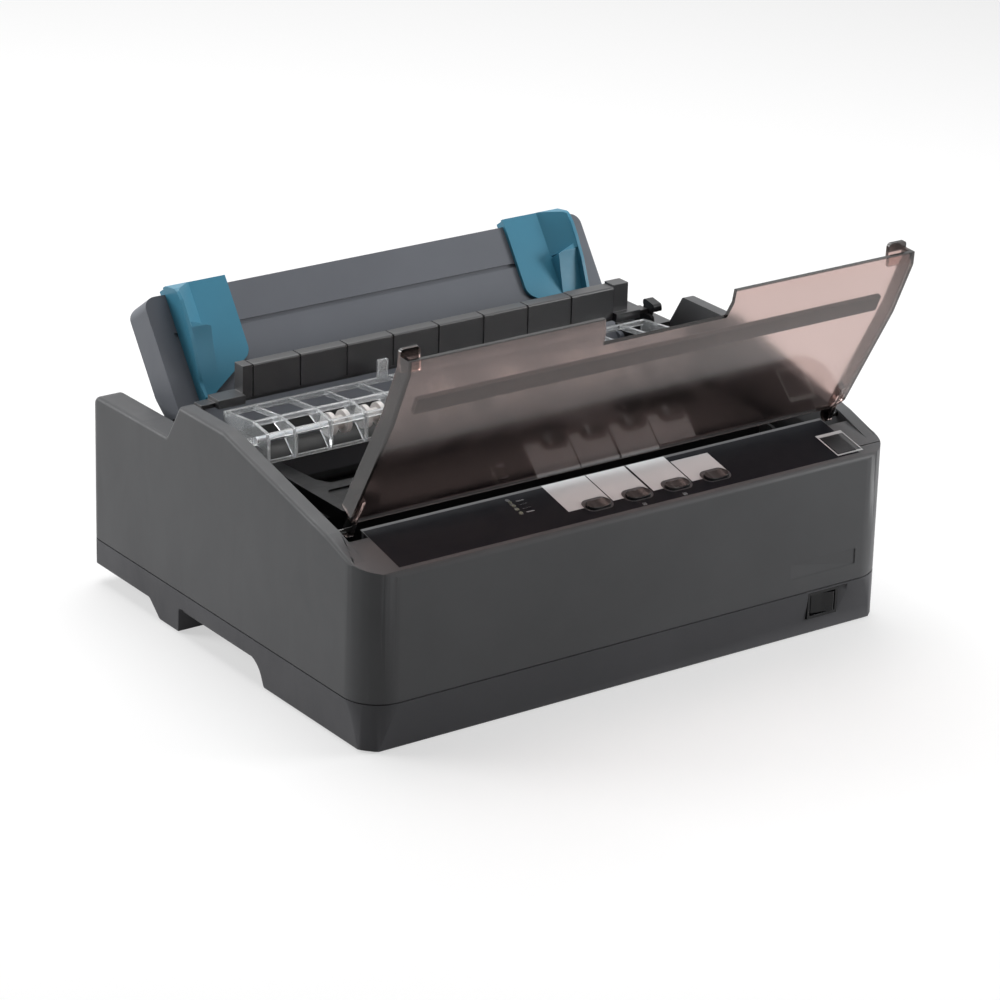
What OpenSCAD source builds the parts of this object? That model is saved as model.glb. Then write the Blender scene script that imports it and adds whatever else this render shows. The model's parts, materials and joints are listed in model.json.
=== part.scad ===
// Narrow dot matrix printer with its smoke cover open and its paper guide raised.
// X runs along the front to the right, Y to the back, Z up. The origin lies on the surface
// under the middle of the case.

/* [Case] */
// Width of the case
case_w = 348; // [330:1:370]
// Depth of the case from its front face to its rear wall
case_d = 275.5; // [262:0.5:290]
// Height of the joint line between the lower and the upper case
seam_z = 27; // [24:0.5:30]
// Wall of the case mouldings
wall = 2.6; // [2.2:0.1:3.2]
// Radius of the two front corners seen from above
corner_r = 21; // [12:1:28]
// Radius of the two rear corners seen from above
rear_r = 8; // [4:1:14]
// Height of the front top edge
deck_z = 99.3; // [97:0.1:102]
// Rise of the control deck from front to back in degrees
deck_tilt = 13.4; // [12.8:0.1:14]
// Depth of the control deck from the front face to the top opening
deck_d = 40; // [38:0.5:44]
// Height of the side walls above the line of the deck
rim_rise = 2.2; // [1.5:0.1:3]
// Width of the band along the top of each side wall
rim_w = 9; // [8:0.5:10]
// Height of the side walls at their peak
peak_z = 134.2; // [132:0.2:136]
// Height of the two humps behind the peaks
hump_z = 112; // [110:0.5:114]
// Width of each rear hump
hump_w = 15.5; // [14:0.5:17]
// Depth of the shadow groove along the joint line
seam_groove = 0.8; // [0.5:0.1:1.2]

/* [Underside] */
// Gap between the skirt and the surface that the printer stands on
skirt_gap = 1; // [0.6:0.1:1.6]
// Inward draft of the lower case over its height
draft = 2.8; // [1:0.2:4]
// Height of the arch in each side skirt
arch_z = 16.5; // [15:0.5:18]
// Height of the rear bottom edge
rear_lift = 11; // [9:0.5:13]
// Length of each rear foot block at its base
foot_len = 20; // [16:1:26]
// Diameter of a rubber foot
foot_dia = 15; // [12:1:18]

/* [Printer cover] */
// Gap between the cover and the case on each side
cover_side = 2; // [1.5:0.5:5]
// Thickness of the cover sheet
cover_t = 2.2; // [1.8:0.1:2.6]
// Depth of the flanges along the cover's sides
flange_d = 9.5; // [8:0.5:11]
// Forward lean of the open cover's main panel in degrees
cover_lean = 29.5; // [27:0.5:30]
// Length of the main panel up to the bend
cover_main = 71.5; // [66:0.5:74]
// Length of the panel above the bend
cover_upper = 33.6; // [28:0.2:36]
// Depth of the notch in the cover's top edge
notch_d = 17; // [10:1:20]
// Half width of the notch at the top edge
notch_half = 42.5; // [30:0.5:50]
// Width of the tongue behind each top corner of the cover
tongue_w = 12; // [8:1:16]

/* [Paper guide] */
// Gap between the paper guide and each side frame
tray_side = 1.2; // [1:0.1:4]
// Backward lean of the raised paper guide in degrees
tray_lean = 35.4; // [30:0.2:38]
// Length of the paper guide from its pivot to its top edge
tray_len = 78; // [70:1:84]
// Depth of the side walls behind the paper face
tray_back = 20; // [16:0.5:22]
// Width of the raised border along each side of the paper face
border_w = 11.5; // [9:0.5:14]
// Height of the border above the paper face
border_t = 0.6; // [0.4:0.1:1]
// Distance of each edge guide from the side of the paper guide
guide_side = 14.5; // [13:0.5:24]
// Width of an edge guide
guide_w = 39; // [34:1:41]
// Height of an edge guide's side fence
fence_h = 14.3; // [12:0.1:15]

/* [Paper path] */
// Height of the platen's axis
platen_z = 90; // [88:0.5:92]
// Distance of the platen's axis behind the middle of the case
platen_y = 38; // [36:0.5:40]
// Radius of the platen
platen_r = 14; // [12:0.5:15]
// Gap between the rubber roller and each side frame
platen_side = 23; // [19:1:29]
// Radius of steel shafts in the paper path
shaft_r = 4; // [3:0.5:5]
// Radius of the platen knob
knob_r = 16; // [14:0.5:18]
// Distance of the paper separator's front bars from each side frame
rack_side = 23.6; // [21:0.1:28]
// Height of the paper separator's top edge
rack_z = 143.6; // [141:0.1:147]
// Number of segments in the paper separator
rack_segments = 8; // [6:1:10]
// Gap between the paper tension unit and each side frame
unit_side = 7; // [6:0.5:11]
// Number of fins on the paper tension unit
fin_count = 12; // [9:1:15]

/* [Carriage] */
// Place of the carriage along the printer at rest
carriage_x = 60; // [-80:5:80]
// Height of the carriage guide shaft
guide_z = 64; // [62:0.5:66]
// Distance of the belt pulleys' axes from the side frames
pulley_side = 25; // [25:1:31]
// Gap between the ribbon cartridge and each side frame
ribbon_side = 10; // [8:0.5:13]

/* [Tractors] */
// Distance of each tractor from the middle of the printer
tractor_x = 108; // [90:1:114]
// Height of the tractor drive shaft
tractor_z = 80; // [78:0.5:82]

/* [Controls] */
// Length of a panel button
button_l = 15; // [12:0.5:16]
// Width of a panel button
button_w = 7; // [5:0.5:8]
// Travel of a panel button
button_travel = 1.2; // [0.8:0.1:1.5]
// Width of the power switch opening
switch_w = 21.5; // [18:0.5:24]
// Distance of the power switch from the right side of the case
switch_side = 46; // [38:1:56]

/* [Inner frame] */
// Gap between each side frame and the wall of the rear bay, which the gears and levers use
frame_gap = 9.5; // [9.5:0.1:11]
// Thickness of a side frame
frame_t = 2; // [1.6:0.1:2.2]

/* [Gears] */
// Module of the paper feed gears
gear_m = 1.25; // [1:0.05:1.3]
// Teeth of the platen gear and of the tractor gear
platen_teeth = 24; // [20:2:28]
// Teeth of the idler gear
idler_teeth = 20; // [16:2:24]
// Teeth of the feed motor's pinion
pinion_teeth = 10; // [10:2:14]

/* [Fits] */
// Gap between pieces that move past each other
gap = 0.3; // [0.25:0.05:0.5]
// Radial clearance of a shaft in its bore
bore_gap = 0.06; // [0.03:0.01:0.09]

/* [Hidden] */

eps = 0.01;
fine = 64;
medium = 40;

// Case outline
half_w = case_w / 2;
front_y = -case_d / 2;
rear_y = case_d / 2;
open_half = half_w - rim_w;
bay_half = half_w - hump_w;
cover_half = open_half - cover_side;
switch_x = half_w - switch_side;
deck_rear_y = front_y + deck_d;
slope = tan(deck_tilt);
function deck_at(y) = deck_z + slope * (y - front_y);
function rim_at(y) = deck_at(y) + rim_rise;
notch_y = 57;
peak_rear_y = 44;
peak_front_y = front_y + (peak_z - deck_z - rim_rise) / slope;
ramp_y0 = front_y + 15.5;
ramp_y1 = front_y + 39;
lip_t = 2;
spindle_r = 1.5;
lip_z = 95;

// Underside
foot_top_z = 13.8;
pan_t = 3;
pan_z = foot_top_z + pan_t;
skirt_rear_y = -37;
foot_y = 49;
foot_in = 26;
pad_seat = 3;
pad_y = [front_y + 22, foot_y + foot_len / 2];
pad_x = half_w - 17;
screw_y = [front_y + 40, rear_y - 22];
screw_r = 1.5;

// Inner frame, from which the widths of all that it carries follow
frame_x = bay_half - frame_gap;
tray_half = frame_x - tray_side;
unit_half = frame_x - unit_side;
rack_half = frame_x - rack_side;
platen_half = frame_x - platen_side;
ribbon_half = frame_x - ribbon_side;
pulley_half = frame_x - pulley_side;
frame_front_y = front_y + 59.75;
frame_rear_y = rear_y - 17.75;
frame_foot_z = pan_z + 2.4;
frame_hole_z = platen_z - 40;
foot_w = 9;
gear_x = frame_x + frame_t + 1;
gear_w = 6;
frame_top_z = platen_z + 33;
lever_x = frame_x + frame_t + gap;
stud_r = 2.5;
release_at = [platen_y + 29, platen_z];
thick_at = [platen_y - 47, platen_z - 7];
tractor_y = platen_y + sqrt(pow(gear_m * (platen_teeth + idler_teeth), 2) - pow(platen_z - tractor_z, 2));

// Cover hinge, placed so that the closed panel lies just above the deck
hinge_y = front_y + 41.5;
hinge_z = deck_at(hinge_y) - 0.2;
pin_r = 1.8;
cover_foot = [hinge_y - 3.7, hinge_z + 5.2];
cover_lens = [7.8, cover_main, cover_upper, 7.2];
cover_leans = [43, cover_lean, cover_lean - 6, 4];

// Paper guide
pivot_z = platen_z + 12;
pivot_y = platen_y + 41.7;
tray_t = 2.6;
tray_pin_r = 3.5;
groove_z = 53.4;
groove_h = 2.4;
guide_gap = tray_half - guide_side - guide_w;
// The lowered paper guide comes to rest on the rear wall
rear_wall_z = pivot_z - tray_back - gap;

// Vector helpers and a path whose corners are rounded
function unit(v) = v / norm(v);
function corner_arc(a, b, c, r, n) =
    let (u = unit(a - b), v = unit(c - b), half = acos(max(-1, min(1, u * v))) / 2,
        m = unit(u + v), o = b + m * r / sin(half), p = b + u * r / tan(half),
        q = b + v * r / tan(half), s = atan2((p - o).y, (p - o).x),
        e = atan2((q - o).y, (q - o).x), d = e - s,
        w = d > 180 ? d - 360 : (d < -180 ? d + 360 : d))
    [for (i = [0 : n]) o + r * [cos(s + w * i / n), sin(s + w * i / n)]];
function xy(p) = [p.x, p.y];
function rounded(path, n = 5) = [for (i = [0 : len(path) - 1])
    let (a = path[(i + len(path) - 1) % len(path)], b = path[i], c = path[(i + 1) % len(path)])
    each (len(b) < 3 || b[2] == 0 ? [xy(b)] : corner_arc(xy(a), xy(b), xy(c), b[2], n))];

// Extrudes a side view (Y, Z) along X, from x0 over the length w
module across(x0, w) {
    translate([x0, 0, 0]) rotate([90, 0, 90]) linear_extrude(w) children();
}

module across_centred(half) {
    across(-half, 2 * half) children();
}

// Both sides of the printer
module both_sides() {
    children();
    mirror([1, 0, 0]) children();
}

// A shaft along X
module x_rod(x0, x1, y, z, r) {
    translate([x0, y, z]) rotate([0, 90, 0]) cylinder(r = r, h = x1 - x0, $fn = fine);
}

module block(x0, x1, y0, y1, z0, z1) {
    translate([x0, y0, z0]) cube([x1 - x0, y1 - y0, z1 - z0]);
}

// A plan outline with rounded front and rear corners, drawn inward by t
module plan(t = 0) {
    w = half_w - t;
    rf = corner_r - t;
    rr = rear_r - t;
    y0 = front_y + t;
    y1 = rear_y - t;
    for (s = [-1, 1]) {
        translate([s * (w - rf), y0 + rf]) circle(r = rf, $fn = fine);
        translate([s * (w - rr), y1 - rr]) circle(r = rr, $fn = fine);
    }
    polygon([[-w, y0 + rf], [-w + rf, y0], [w - rf, y0], [w, y0 + rf],
        [w, y1 - rr], [w - rr, y1], [-w + rr, y1], [-w, y1 - rr]]);
}

// An oval plate of length l and width w, flat in the XY plane
module oval(l, w) {
    square([l - w, w], center = true);
    for (s = [-1, 1]) translate([s * (l - w) / 2, 0]) circle(d = w, $fn = medium);
}

// Spur gear outline with straight-sided teeth, one tooth centred on the local X axis
module gear_outline(teeth, backlash = 0.16) {
    r = gear_m * teeth / 2;
    ra = r + 0.85 * gear_m;
    rf = r - 1.2 * gear_m;
    step = 360 / teeth;
    tip = step * 0.11;
    mid = step * (0.25 - backlash / (2 * PI * gear_m));
    root = step * 0.36;
    polygon([for (i = [0 : teeth - 1]) each [
        rf * [cos(i * step - root), sin(i * step - root)],
        r * [cos(i * step - mid), sin(i * step - mid)],
        ra * [cos(i * step - tip), sin(i * step - tip)],
        ra * [cos(i * step + tip), sin(i * step + tip)],
        r * [cos(i * step + mid), sin(i * step + mid)],
        rf * [cos(i * step + root), sin(i * step + root)]]]);
}

// A gear whose axis runs along X, with its first tooth at the angle phase in the side view
module x_gear(teeth, x0, w, y, z, phase, bore) {
    translate([0, y, z]) across(x0, w) rotate(phase) difference() {
        gear_outline(teeth);
        circle(r = bore, $fn = fine);
    }
}

/* ---------- case ---------- */

// Side view of the whole case, drawn inward by t
module side_view(t = 0) {
    k = t / cos(deck_tilt);
    polygon(rounded([
        [front_y + t, 0],
        [front_y + t, deck_z - k + slope * t, 3.2],
        [ramp_y0, deck_at(ramp_y0) - k, 6],
        [ramp_y1, rim_at(ramp_y1) - k, 12],
        [peak_front_y + t * 0.2, peak_z - t, 14],
        [peak_rear_y - t, peak_z - t, 2],
        [notch_y - t, hump_z + 1 - t, 2],
        [rear_y - t, hump_z - t, 10 - t],
        [rear_y - t, 0]]));
}

// The lower case's block, drafted inward towards its base
module base_block(t = 0) {
    intersection() {
        linear_extrude(seam_z) plan(t);
        across_centred(half_w) polygon([[front_y + t + draft, 0], [front_y + t, seam_z],
            [rear_y - t, seam_z], [rear_y - t, 0]]);
        rotate([90, 0, 0]) translate([0, 0, -rear_y]) linear_extrude(case_d) polygon([
            [-half_w + t + draft, 0], [half_w - t - draft, 0], [half_w - t, seam_z],
            [-half_w + t, seam_z]]);
    }
}

module skirt_view() {
    polygon(rounded([
        [front_y - 1, skirt_gap],
        [skirt_rear_y, skirt_gap, 1.5],
        [skirt_rear_y + 4, arch_z, 12],
        [foot_y - 3, arch_z, 2.5],
        [foot_y, skirt_gap, 1],
        [foot_y + foot_len, skirt_gap, 2.5],
        [foot_y + foot_len + 9, rear_lift, 3],
        [rear_y + 1, rear_lift],
        [rear_y + 1, seam_z],
        [front_y - 1, seam_z]]));
}

module lower_case() {
    color("#3b3c3e") difference() {
        union() {
            intersection() {
                difference() {
                    base_block();
                    intersection() {
                        base_block(wall);
                        block(-half_w, half_w, front_y, rear_y, 0, 3 * seam_z);
                    }
                }
                across_centred(half_w) skirt_view();
            }
            intersection() {
                base_block(wall - 0.5);
                block(-half_w, half_w, front_y, rear_y, foot_top_z, pan_z);
            }
            intersection() {
                base_block(wall - 0.5);
                across_centred(half_w) skirt_view();
                both_sides() block(half_w - foot_in, half_w, foot_y - 4,
                    foot_y + foot_len + 10, 0, foot_top_z + eps);
            }
            for (s = [-1, 1]) translate([s * pad_x, pad_y[0], skirt_gap])
                cylinder(d = foot_dia + 5, h = foot_top_z - skirt_gap + eps, $fn = fine);
            both_sides() for (x = [0 : 3]) block(20 + 34 * x - 1, 20 + 34 * x + 1,
                front_y + wall, skirt_rear_y, skirt_gap + 5, foot_top_z + eps);
        }
        for (s = [-1, 1], y = pad_y) translate([s * pad_x, y, -eps])
            cylinder(d = foot_dia + 0.2, h = pad_seat + eps, $fn = fine);
        switch_opening();
        for (x = [-40 : 10 : 40]) block(x - 2, x + 2, 60, 110, 0, pan_z + 1);
        for (s = [-1, 1], y = screw_y) translate([s * pad_x, y, 0])
            cylinder(r = screw_r + 0.2, h = seam_z, $fn = medium);
    }
}

switch_z0 = 10;
switch_z1 = seam_z - 1;
switch_deep = 30;

// Opening of the power switch in the front skirt, with a bevel to its right
module switch_opening() {
    z0 = switch_z0;
    z1 = switch_z1;
    block(switch_x - switch_w / 2, switch_x + switch_w / 2, front_y - 1, front_y + switch_deep + 1, z0, z1);
    translate([0, 0, z0]) linear_extrude(z1 - z0) polygon([
        [switch_x + switch_w / 2 - eps, front_y - 1], [switch_x + switch_w / 2 + 7, front_y - 1],
        [switch_x + switch_w / 2 + 6, front_y + 0.6], [switch_x + switch_w / 2 - eps, front_y + 2.2]]);
}

module rubber_feet() {
    color("#1c1c1c") for (s = [-1, 1], y = pad_y) translate([s * pad_x, y, 0]) difference() {
        cylinder(d = foot_dia, h = pad_seat, $fn = fine);
        translate([0, 0, -1]) cylinder(d = foot_dia / 3, h = 1.6, $fn = medium);
    }
}

// Places a child on the control deck, with its local Z along the deck's normal
module on_deck(x, y) {
    translate([x, y, deck_at(y)]) rotate([deck_tilt, 0, 0]) children();
}

button_x = [for (i = [0 : 3]) -18.8 + 26.2 * i];
button_y = front_y + 14.5;
light_x = -63;
light_y = [for (i = [0 : 3]) front_y + 22.6 + 3.3 * i];
light_r = 1.1;

// Boss inside the upper case that a case screw bites into
module screw_boss(s, y) {
    difference() {
        union() {
            translate([s * pad_x, y, seam_z]) cylinder(r = 4, h = 18, $fn = medium);
            translate([s * pad_x, y, seam_z]) mirror([s < 0 ? 1 : 0, 0, 0])
                block(0, half_w - pad_x - 1, -0.8, 0.8, 0, 18);
        }
        translate([s * pad_x, y, seam_z - 1]) cylinder(r = screw_r + 0.05, h = 13, $fn = medium);
    }
}

module upper_case() {
    color("#3f4042") {
        difference() {
            union() {
                intersection() {
                    difference() {
                        translate([0, 0, seam_z]) linear_extrude(peak_z) plan();
                        intersection() {
                            linear_extrude(peak_z + seam_z) plan(wall);
                            across_centred(half_w) side_view(wall);
                        }
                    }
                    across_centred(half_w) side_view();
                }
                // Down-turned lips inside the top opening
                intersection() {
                    across_centred(half_w) side_view(0.4);
                    union() {
                        both_sides() {
                            block(open_half, open_half + lip_t, hinge_y - 10, notch_y, lip_z, peak_z);
                            block(bay_half, bay_half + lip_t, notch_y - lip_t, rear_y - 1, 70, hump_z);
                            block(bay_half, open_half + lip_t, notch_y - lip_t, notch_y, 70, peak_z);
                        }
                        block(-open_half + 14, open_half - 14, deck_rear_y - lip_t, deck_rear_y,
                            lip_z, peak_z);
                        both_sides() x_rod(open_half, half_w - wall + 0.5, hinge_y, hinge_z - 1, 4);
                    }
                }
                for (s = [-1, 1], y = screw_y) screw_boss(s, y);
            }
            // Control deck lowered between the side walls
            across_centred(open_half) polygon([
                [front_y + 4, deck_at(front_y + 4)], [deck_rear_y + 1, deck_at(deck_rear_y + 1)],
                [deck_rear_y + 1, peak_z + 5], [front_y + 4, peak_z + 5]]);
            // Top opening and the slots for the cover's hinge arms
            block(-open_half, open_half, deck_rear_y, notch_y - lip_t, lip_z - 20, peak_z + 9);
            both_sides() block(open_half - 13, open_half, hinge_y - 9, deck_rear_y + 1,
                lip_z, peak_z);
            // Rear bay, open at the back above the rear wall
            block(-bay_half, bay_half, notch_y - lip_t - 1, rear_y + 1, rear_wall_z, peak_z + 9);
            both_sides() x_rod(open_half - 1, open_half + 5, hinge_y, hinge_z, pin_r + bore_gap);
            // Knob opening
            x_rod(half_w - 12, half_w + 1, platen_y, platen_z, shaft_r + 3);
            for (x = button_x) on_deck(x, button_y) translate([0, 0, -wall - 3])
                linear_extrude(wall + 6) oval(button_l + 2 * gap, button_w + 2 * gap);
            for (y = light_y) on_deck(light_x, y) translate([0, 0, -wall - 2])
                cylinder(r = light_r + 0.15, h = wall + 4, $fn = medium);
            rear_openings();
            // Name plate recess, left bare
            block(half_w - 70.5, half_w - 25, front_y - 1, front_y + 0.5, seam_z + 10, seam_z + 19);
            // Shadow groove along the joint line
            translate([0, 0, seam_z - eps]) linear_extrude(seam_groove + eps) difference() {
                plan(-1);
                plan(seam_groove);
            }
        }
    }
}

inlet_x = half_w - 48;
inlet_z = 52;
port_x = -half_w + 78;
port_z = 50;

module rear_openings() {
    block(inlet_x - 14, inlet_x + 14, rear_y - 5, rear_y + 1, inlet_z - 10.5, inlet_z + 10.5);
    block(port_x - 36, port_x + 36, rear_y - 5, rear_y + 1, port_z - 8, port_z + 8);
    block(port_x + 52, port_x + 66, rear_y - 5, rear_y + 1, port_z - 6.5, port_z + 6.5);
    for (i = [0 : 9]) block(-20 + 9 * i, -15 + 9 * i, rear_y - 5, rear_y + 1, 36, 70);
}

/* ---------- printer cover ---------- */

// Outer face of the cover seen from the side, as points from its foot upwards
function cover_points(k = 0, p = cover_foot) = k == len(cover_lens) ? [p] :
    concat([p], cover_points(k + 1, p + cover_lens[k] * [-sin(cover_leans[k]), cos(cover_leans[k])]));
function lean_at(k) = k == 0 ? cover_leans[0] :
    (k == len(cover_leans) ? cover_leans[k - 1] : (cover_leans[k - 1] + cover_leans[k]) / 2);

// Side view of a sheet of thickness t that lies behind the outer face by d
module cover_view(t, d = 0, n = len(cover_lens)) {
    p = cover_points();
    polygon(concat([for (k = [0 : n]) p[k] + d * [cos(lean_at(k)), sin(lean_at(k))]],
        [for (k = [n : -1 : 0]) p[k] + (d + t) * [cos(lean_at(k)), sin(lean_at(k))]]));
}

// Prism across the cover's main panel, for cutting its corners and notch
module through_cover() {
    translate([0, cover_foot.x, cover_foot.y]) rotate([90 + cover_lean, 0, 0])
        translate([0, 0, -60]) linear_extrude(120) children();
}

cover_len = cover_lens[0] + cover_lens[1] + cover_lens[2] + cover_lens[3];

module printer_cover() {
    corner = 9;
    flange_foot = cover_lens[0] * cos(cover_leans[0] - cover_lean);
    color("#6b5c58", 0.6) {
        difference() {
            union() {
                difference() {
                    across_centred(cover_half) cover_view(cover_t);
                    both_sides() through_cover() difference() {
                        translate([cover_half - corner, -20]) square([corner + 1, corner + 20]);
                        translate([cover_half - corner, corner]) circle(r = corner, $fn = fine);
                    }
                }
                both_sides() difference() {
                    across(cover_half - cover_t, cover_t) cover_view(flange_d);
                    through_cover() translate([0, -20]) square([cover_half + 1, flange_foot + 20]);
                }
            }
            through_cover() polygon([[-notch_half + notch_taper, cover_len - notch_d],
                [notch_half - notch_taper, cover_len - notch_d], [notch_half, cover_len],
                [notch_half, cover_len + 30], [-notch_half, cover_len + 30], [-notch_half, cover_len]]);
        }
        both_sides() cover_arm();
        both_sides() cover_tongue();
    }
}

notch_taper = 2.6;
tongue_rise = 3.6;
tongue_down = 9;

// Tongue behind a top corner, level with the rear of the flange
module cover_tongue() {
    p = cover_points();
    n = len(cover_lens);
    translate([cover_half - tongue_w, p[n].x, p[n].y]) rotate([90 + cover_leans[n - 1], 0, 0])
        translate([0, 0, -flange_d]) linear_extrude(cover_t) polygon(rounded([[0, -tongue_down],
            [tongue_w, -tongue_down], [tongue_w, tongue_rise, 2], [0, tongue_rise, 2]]));
}

// Hinge arm and pin at one end of the cover
module cover_arm() {
    x0 = cover_half - 6.5;
    base = cover_points()[1];
    dir = unit([hinge_y, hinge_z] - base);
    across(x0, 3) union() {
        translate([hinge_y, hinge_z]) circle(r = 3.4, $fn = medium);
        polygon([[hinge_y, hinge_z] + 3.2 * [dir.y, -dir.x], [hinge_y, hinge_z] - 3.2 * [dir.y, -dir.x],
            base + [-5, 9] - 2 * [dir.y, -dir.x] + [4, 2], base + [-5, 9] + [1.2, 0.4], base + [0.9, 0.5]]);
    }
    x_rod(x0 + 2, open_half + 3.5, hinge_y, hinge_z, pin_r);
}

module cover_cushion() {
    p = cover_points();
    color("#241c1a") across_centred(cover_half - 13) translate(p[2] + cover_t * [cos(cover_leans[2]), sin(cover_leans[2])])
        rotate(cover_leans[2]) polygon(rounded([[0.02, 3, 0], [3.2, 3, 1], [3.2, 13, 1], [0.02, 13, 0]]));
}

/* ---------- controls ---------- */

board_depth = 10;
flange_t = 1.2;
button_foot = wall + gap + flange_t;

module button(i) {
    color("#191a1c") on_deck(button_x[i], button_y) {
        difference() {
            translate([0, 0, -button_foot]) linear_extrude(button_foot + 1.6) oval(button_l, button_w);
            translate([0, 0, 1.6 + 18]) rotate([90, 0, 0]) cylinder(r = 18.6, h = button_w + 2,
                center = true, $fn = 96);
        }
        translate([0, 0, -button_foot]) linear_extrude(flange_t) oval(button_l + 3, button_w + 3);
    }
}

module tear_off_button() { button(0); }
module font_button() { button(1); }
module feed_button() { button(2); }
module pause_button() { button(3); }

module status_lights() {
    color("#d8d4a0") for (y = light_y) on_deck(light_x, y) {
        translate([0, 0, -board_depth]) cylinder(r = light_r, h = board_depth + 0.4, $fn = medium);
    }
}

module panel_board() {
    color("#2f5d3a") {
        on_deck(0, (button_y + light_y[3]) / 2) translate([0, 0, -board_depth - 1.6])
            translate([-74, -13, 0]) cube([148, 24, 1.6]);
        for (x = button_x) on_deck(x, button_y) translate([-3, -3, -board_depth - eps])
            cube([6, 6, board_depth - button_foot - button_travel - gap]);
        // Posts that hang the board from the deck
        for (x = [-70, -45, 72]) on_deck(x, button_y) translate([0, 0, -board_depth - eps])
            cylinder(r = 2.4, h = board_depth - wall, $fn = medium);
    }
}

rocker_z = (switch_z0 + switch_z1) / 2;
rocker_y = front_y + 4;

module switch_body() {
    w = switch_w / 2 - gap;
    h = (switch_z1 - switch_z0) / 2 - gap;
    color("#161616") difference() {
        translate([switch_x, 0, rocker_z]) {
            block(-w, w, front_y + 0.6, front_y + 24, -h, h);
            for (x = [-w + 3, w - 5]) block(x, x + 2, front_y + 23, front_y + switch_deep, -3, 3);
        }
        translate([switch_x, 0, rocker_z]) block(-w + 1.6, w - 1.6, front_y, front_y + 19, -h + 1.6, h - 1.6);
        translate([switch_x, rocker_y, rocker_z - h - 1]) cylinder(r = 1.2 + bore_gap, h = 2 * h + 2, $fn = medium);
    }
}

module power_rocker() {
    w = switch_w / 2 - 3.15;
    h = (switch_z1 - switch_z0) / 2 - 2.3;
    color("#0e0e0f") translate([switch_x, rocker_y, rocker_z]) {
        translate([0, 0, -h]) linear_extrude(2 * h) polygon(rounded([
            [-w, -1.6, 0.8], [0, -2.6, 6], [w, -5, 0.8], [w - 1, 0, 1],
            [3.5, 5.5, 1.5], [-3.5, 5.5, 1.5], [-w + 1, 0, 1]]));
        translate([0, 0, -h - 1.4]) cylinder(r = 1.2, h = 2 * h + 2.8, $fn = medium);
    }
}

/* ---------- paper guide ---------- */

// Frame of the raised paper guide: local Z runs up its face, local Y is its depth
module on_tray() {
    translate([0, pivot_y, pivot_z]) rotate([-tray_lean, 0, 0]) children();
}

// Front view outline of the paper guide, drawn inward by t
module tray_face(t = 0, below = 6) {
    w = tray_half - t;
    r = 7 - t;
    for (s = [-1, 1]) translate([s * (w - r), tray_len - t - r]) circle(r = r, $fn = fine);
    translate([-w + r, tray_len - t - r]) square([2 * (w - r), r]);
    translate([-w, -below]) square([2 * w, tray_len - t - r + below]);
}

// Extrudes a front view (X, height) over the depth d, from the local depth y0
module tray_extrude(y0, d) {
    translate([0, y0 + d, 0]) rotate([90, 0, 0]) linear_extrude(d) children();
}

// Side view of the paper guide's side walls, shallower near the pivot to clear the tractors
module tray_side_view() {
    polygon(rounded([[-border_t, -6], [-border_t, tray_len], [tray_back, tray_len, 5],
        [tray_back, 26, 6], [9.7, -6]]));
}

module paper_guide() {
    face_half = tray_half - border_w;
    color("#434448") on_tray() {
        difference() {
            intersection() {
                across_centred(tray_half) tray_side_view();
                tray_extrude(-border_t, border_t + tray_back) tray_face();
            }
            // Paper face between the borders, and the hollow behind it
            tray_extrude(-border_t - 1, border_t + 1) translate([-face_half, -20])
                square([2 * face_half, tray_len + 40]);
            tray_extrude(tray_t, tray_back) tray_face(tray_t, 10);
            // Rail groove for the edge guides
            block(-face_half + 1, face_half - 1, -1, 1.2, groove_z, groove_z + groove_h);
        }
        for (x = [-120 : 30 : 120]) block(x - 1, x + 1, tray_t - eps, tray_t + 2, -4, tray_len - 4);
        both_sides() x_rod(tray_half - 1.5, frame_x + frame_t, 0, 0, tray_pin_r);
    }
}

guide_low = 14.5;
guide_top = tray_len + 4;
guide_t = 2.25;
grip_w = 15.3;

// Front view of an edge guide's plate, whose lower edge sweeps up towards the middle
module guide_plate_view(x0, x1) {
    polygon(rounded([[x0, guide_top], [x1, guide_top], [x1, guide_low, 3],
        [x1 - 9.5, guide_low + 3, 8], [x0, guide_low + 21.5, 8]]));
}

// Side view of an edge guide's fence, which swells forward beside the sheet's edge
module guide_fence_view() {
    z = guide_low;
    polygon(rounded([[-0.15, z], [-8, z, 1], [-6.5, z + 9, 10], [-12.5, z + 33.5, 14],
        [-fence_h + 0.3, z + 46.5, 10], [-fence_h, z + 55.5, 6], [-fence_h + 1.5, z + 62.5, 5],
        [-3, guide_top, 2], [-0.15, guide_top]]));
}

// Edge guide that stands on the right; its inner edge lies at guide_gap
module edge_guide() {
    x0 = guide_gap;
    x1 = guide_gap + guide_w;
    xg = x1 - grip_w;
    grip_z = guide_low + 39;
    color("#4a8096") on_tray() {
        // Plate with a hook over the top edge of the paper guide
        tray_extrude(-0.15 - guide_t, guide_t) guide_plate_view(x0, x1);
        block(x0 + 2, x1 - 2, -1, 8, tray_len + gap, guide_top);
        across(x1 - 2, 2) guide_fence_view();
        // Hood that flares from the plate to the fence
        intersection() {
            across(xg, grip_w) guide_fence_view();
            translate([0, 0, grip_z + 1.5]) linear_extrude(guide_top - grip_z) polygon([
                [xg, -0.15], [xg, -guide_t], [x1, -fence_h - 0.2], [x1, -0.15]]);
        }
        // Grip below the hood, with its top edge slanting up towards the fence
        intersection() {
            across(xg, grip_w) polygon(rounded([[-0.15, guide_low + 14], [-guide_t, guide_low + 16],
                [-11.8, grip_z + 1, 2], [-11.8, grip_z + 6], [-0.15, grip_z + 6]]));
            tray_extrude(-20, 20) polygon([[xg, guide_low], [x1, guide_low], [x1, grip_z + 5.5],
                [xg, grip_z]]);
        }
        block(x0 + 5, x1 - 5, -1, 0.9, groove_z + gap, groove_z + groove_h - gap);
    }
}

module edge_guide_left() { mirror([1, 0, 0]) edge_guide(); }
module edge_guide_right() { edge_guide(); }

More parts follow.
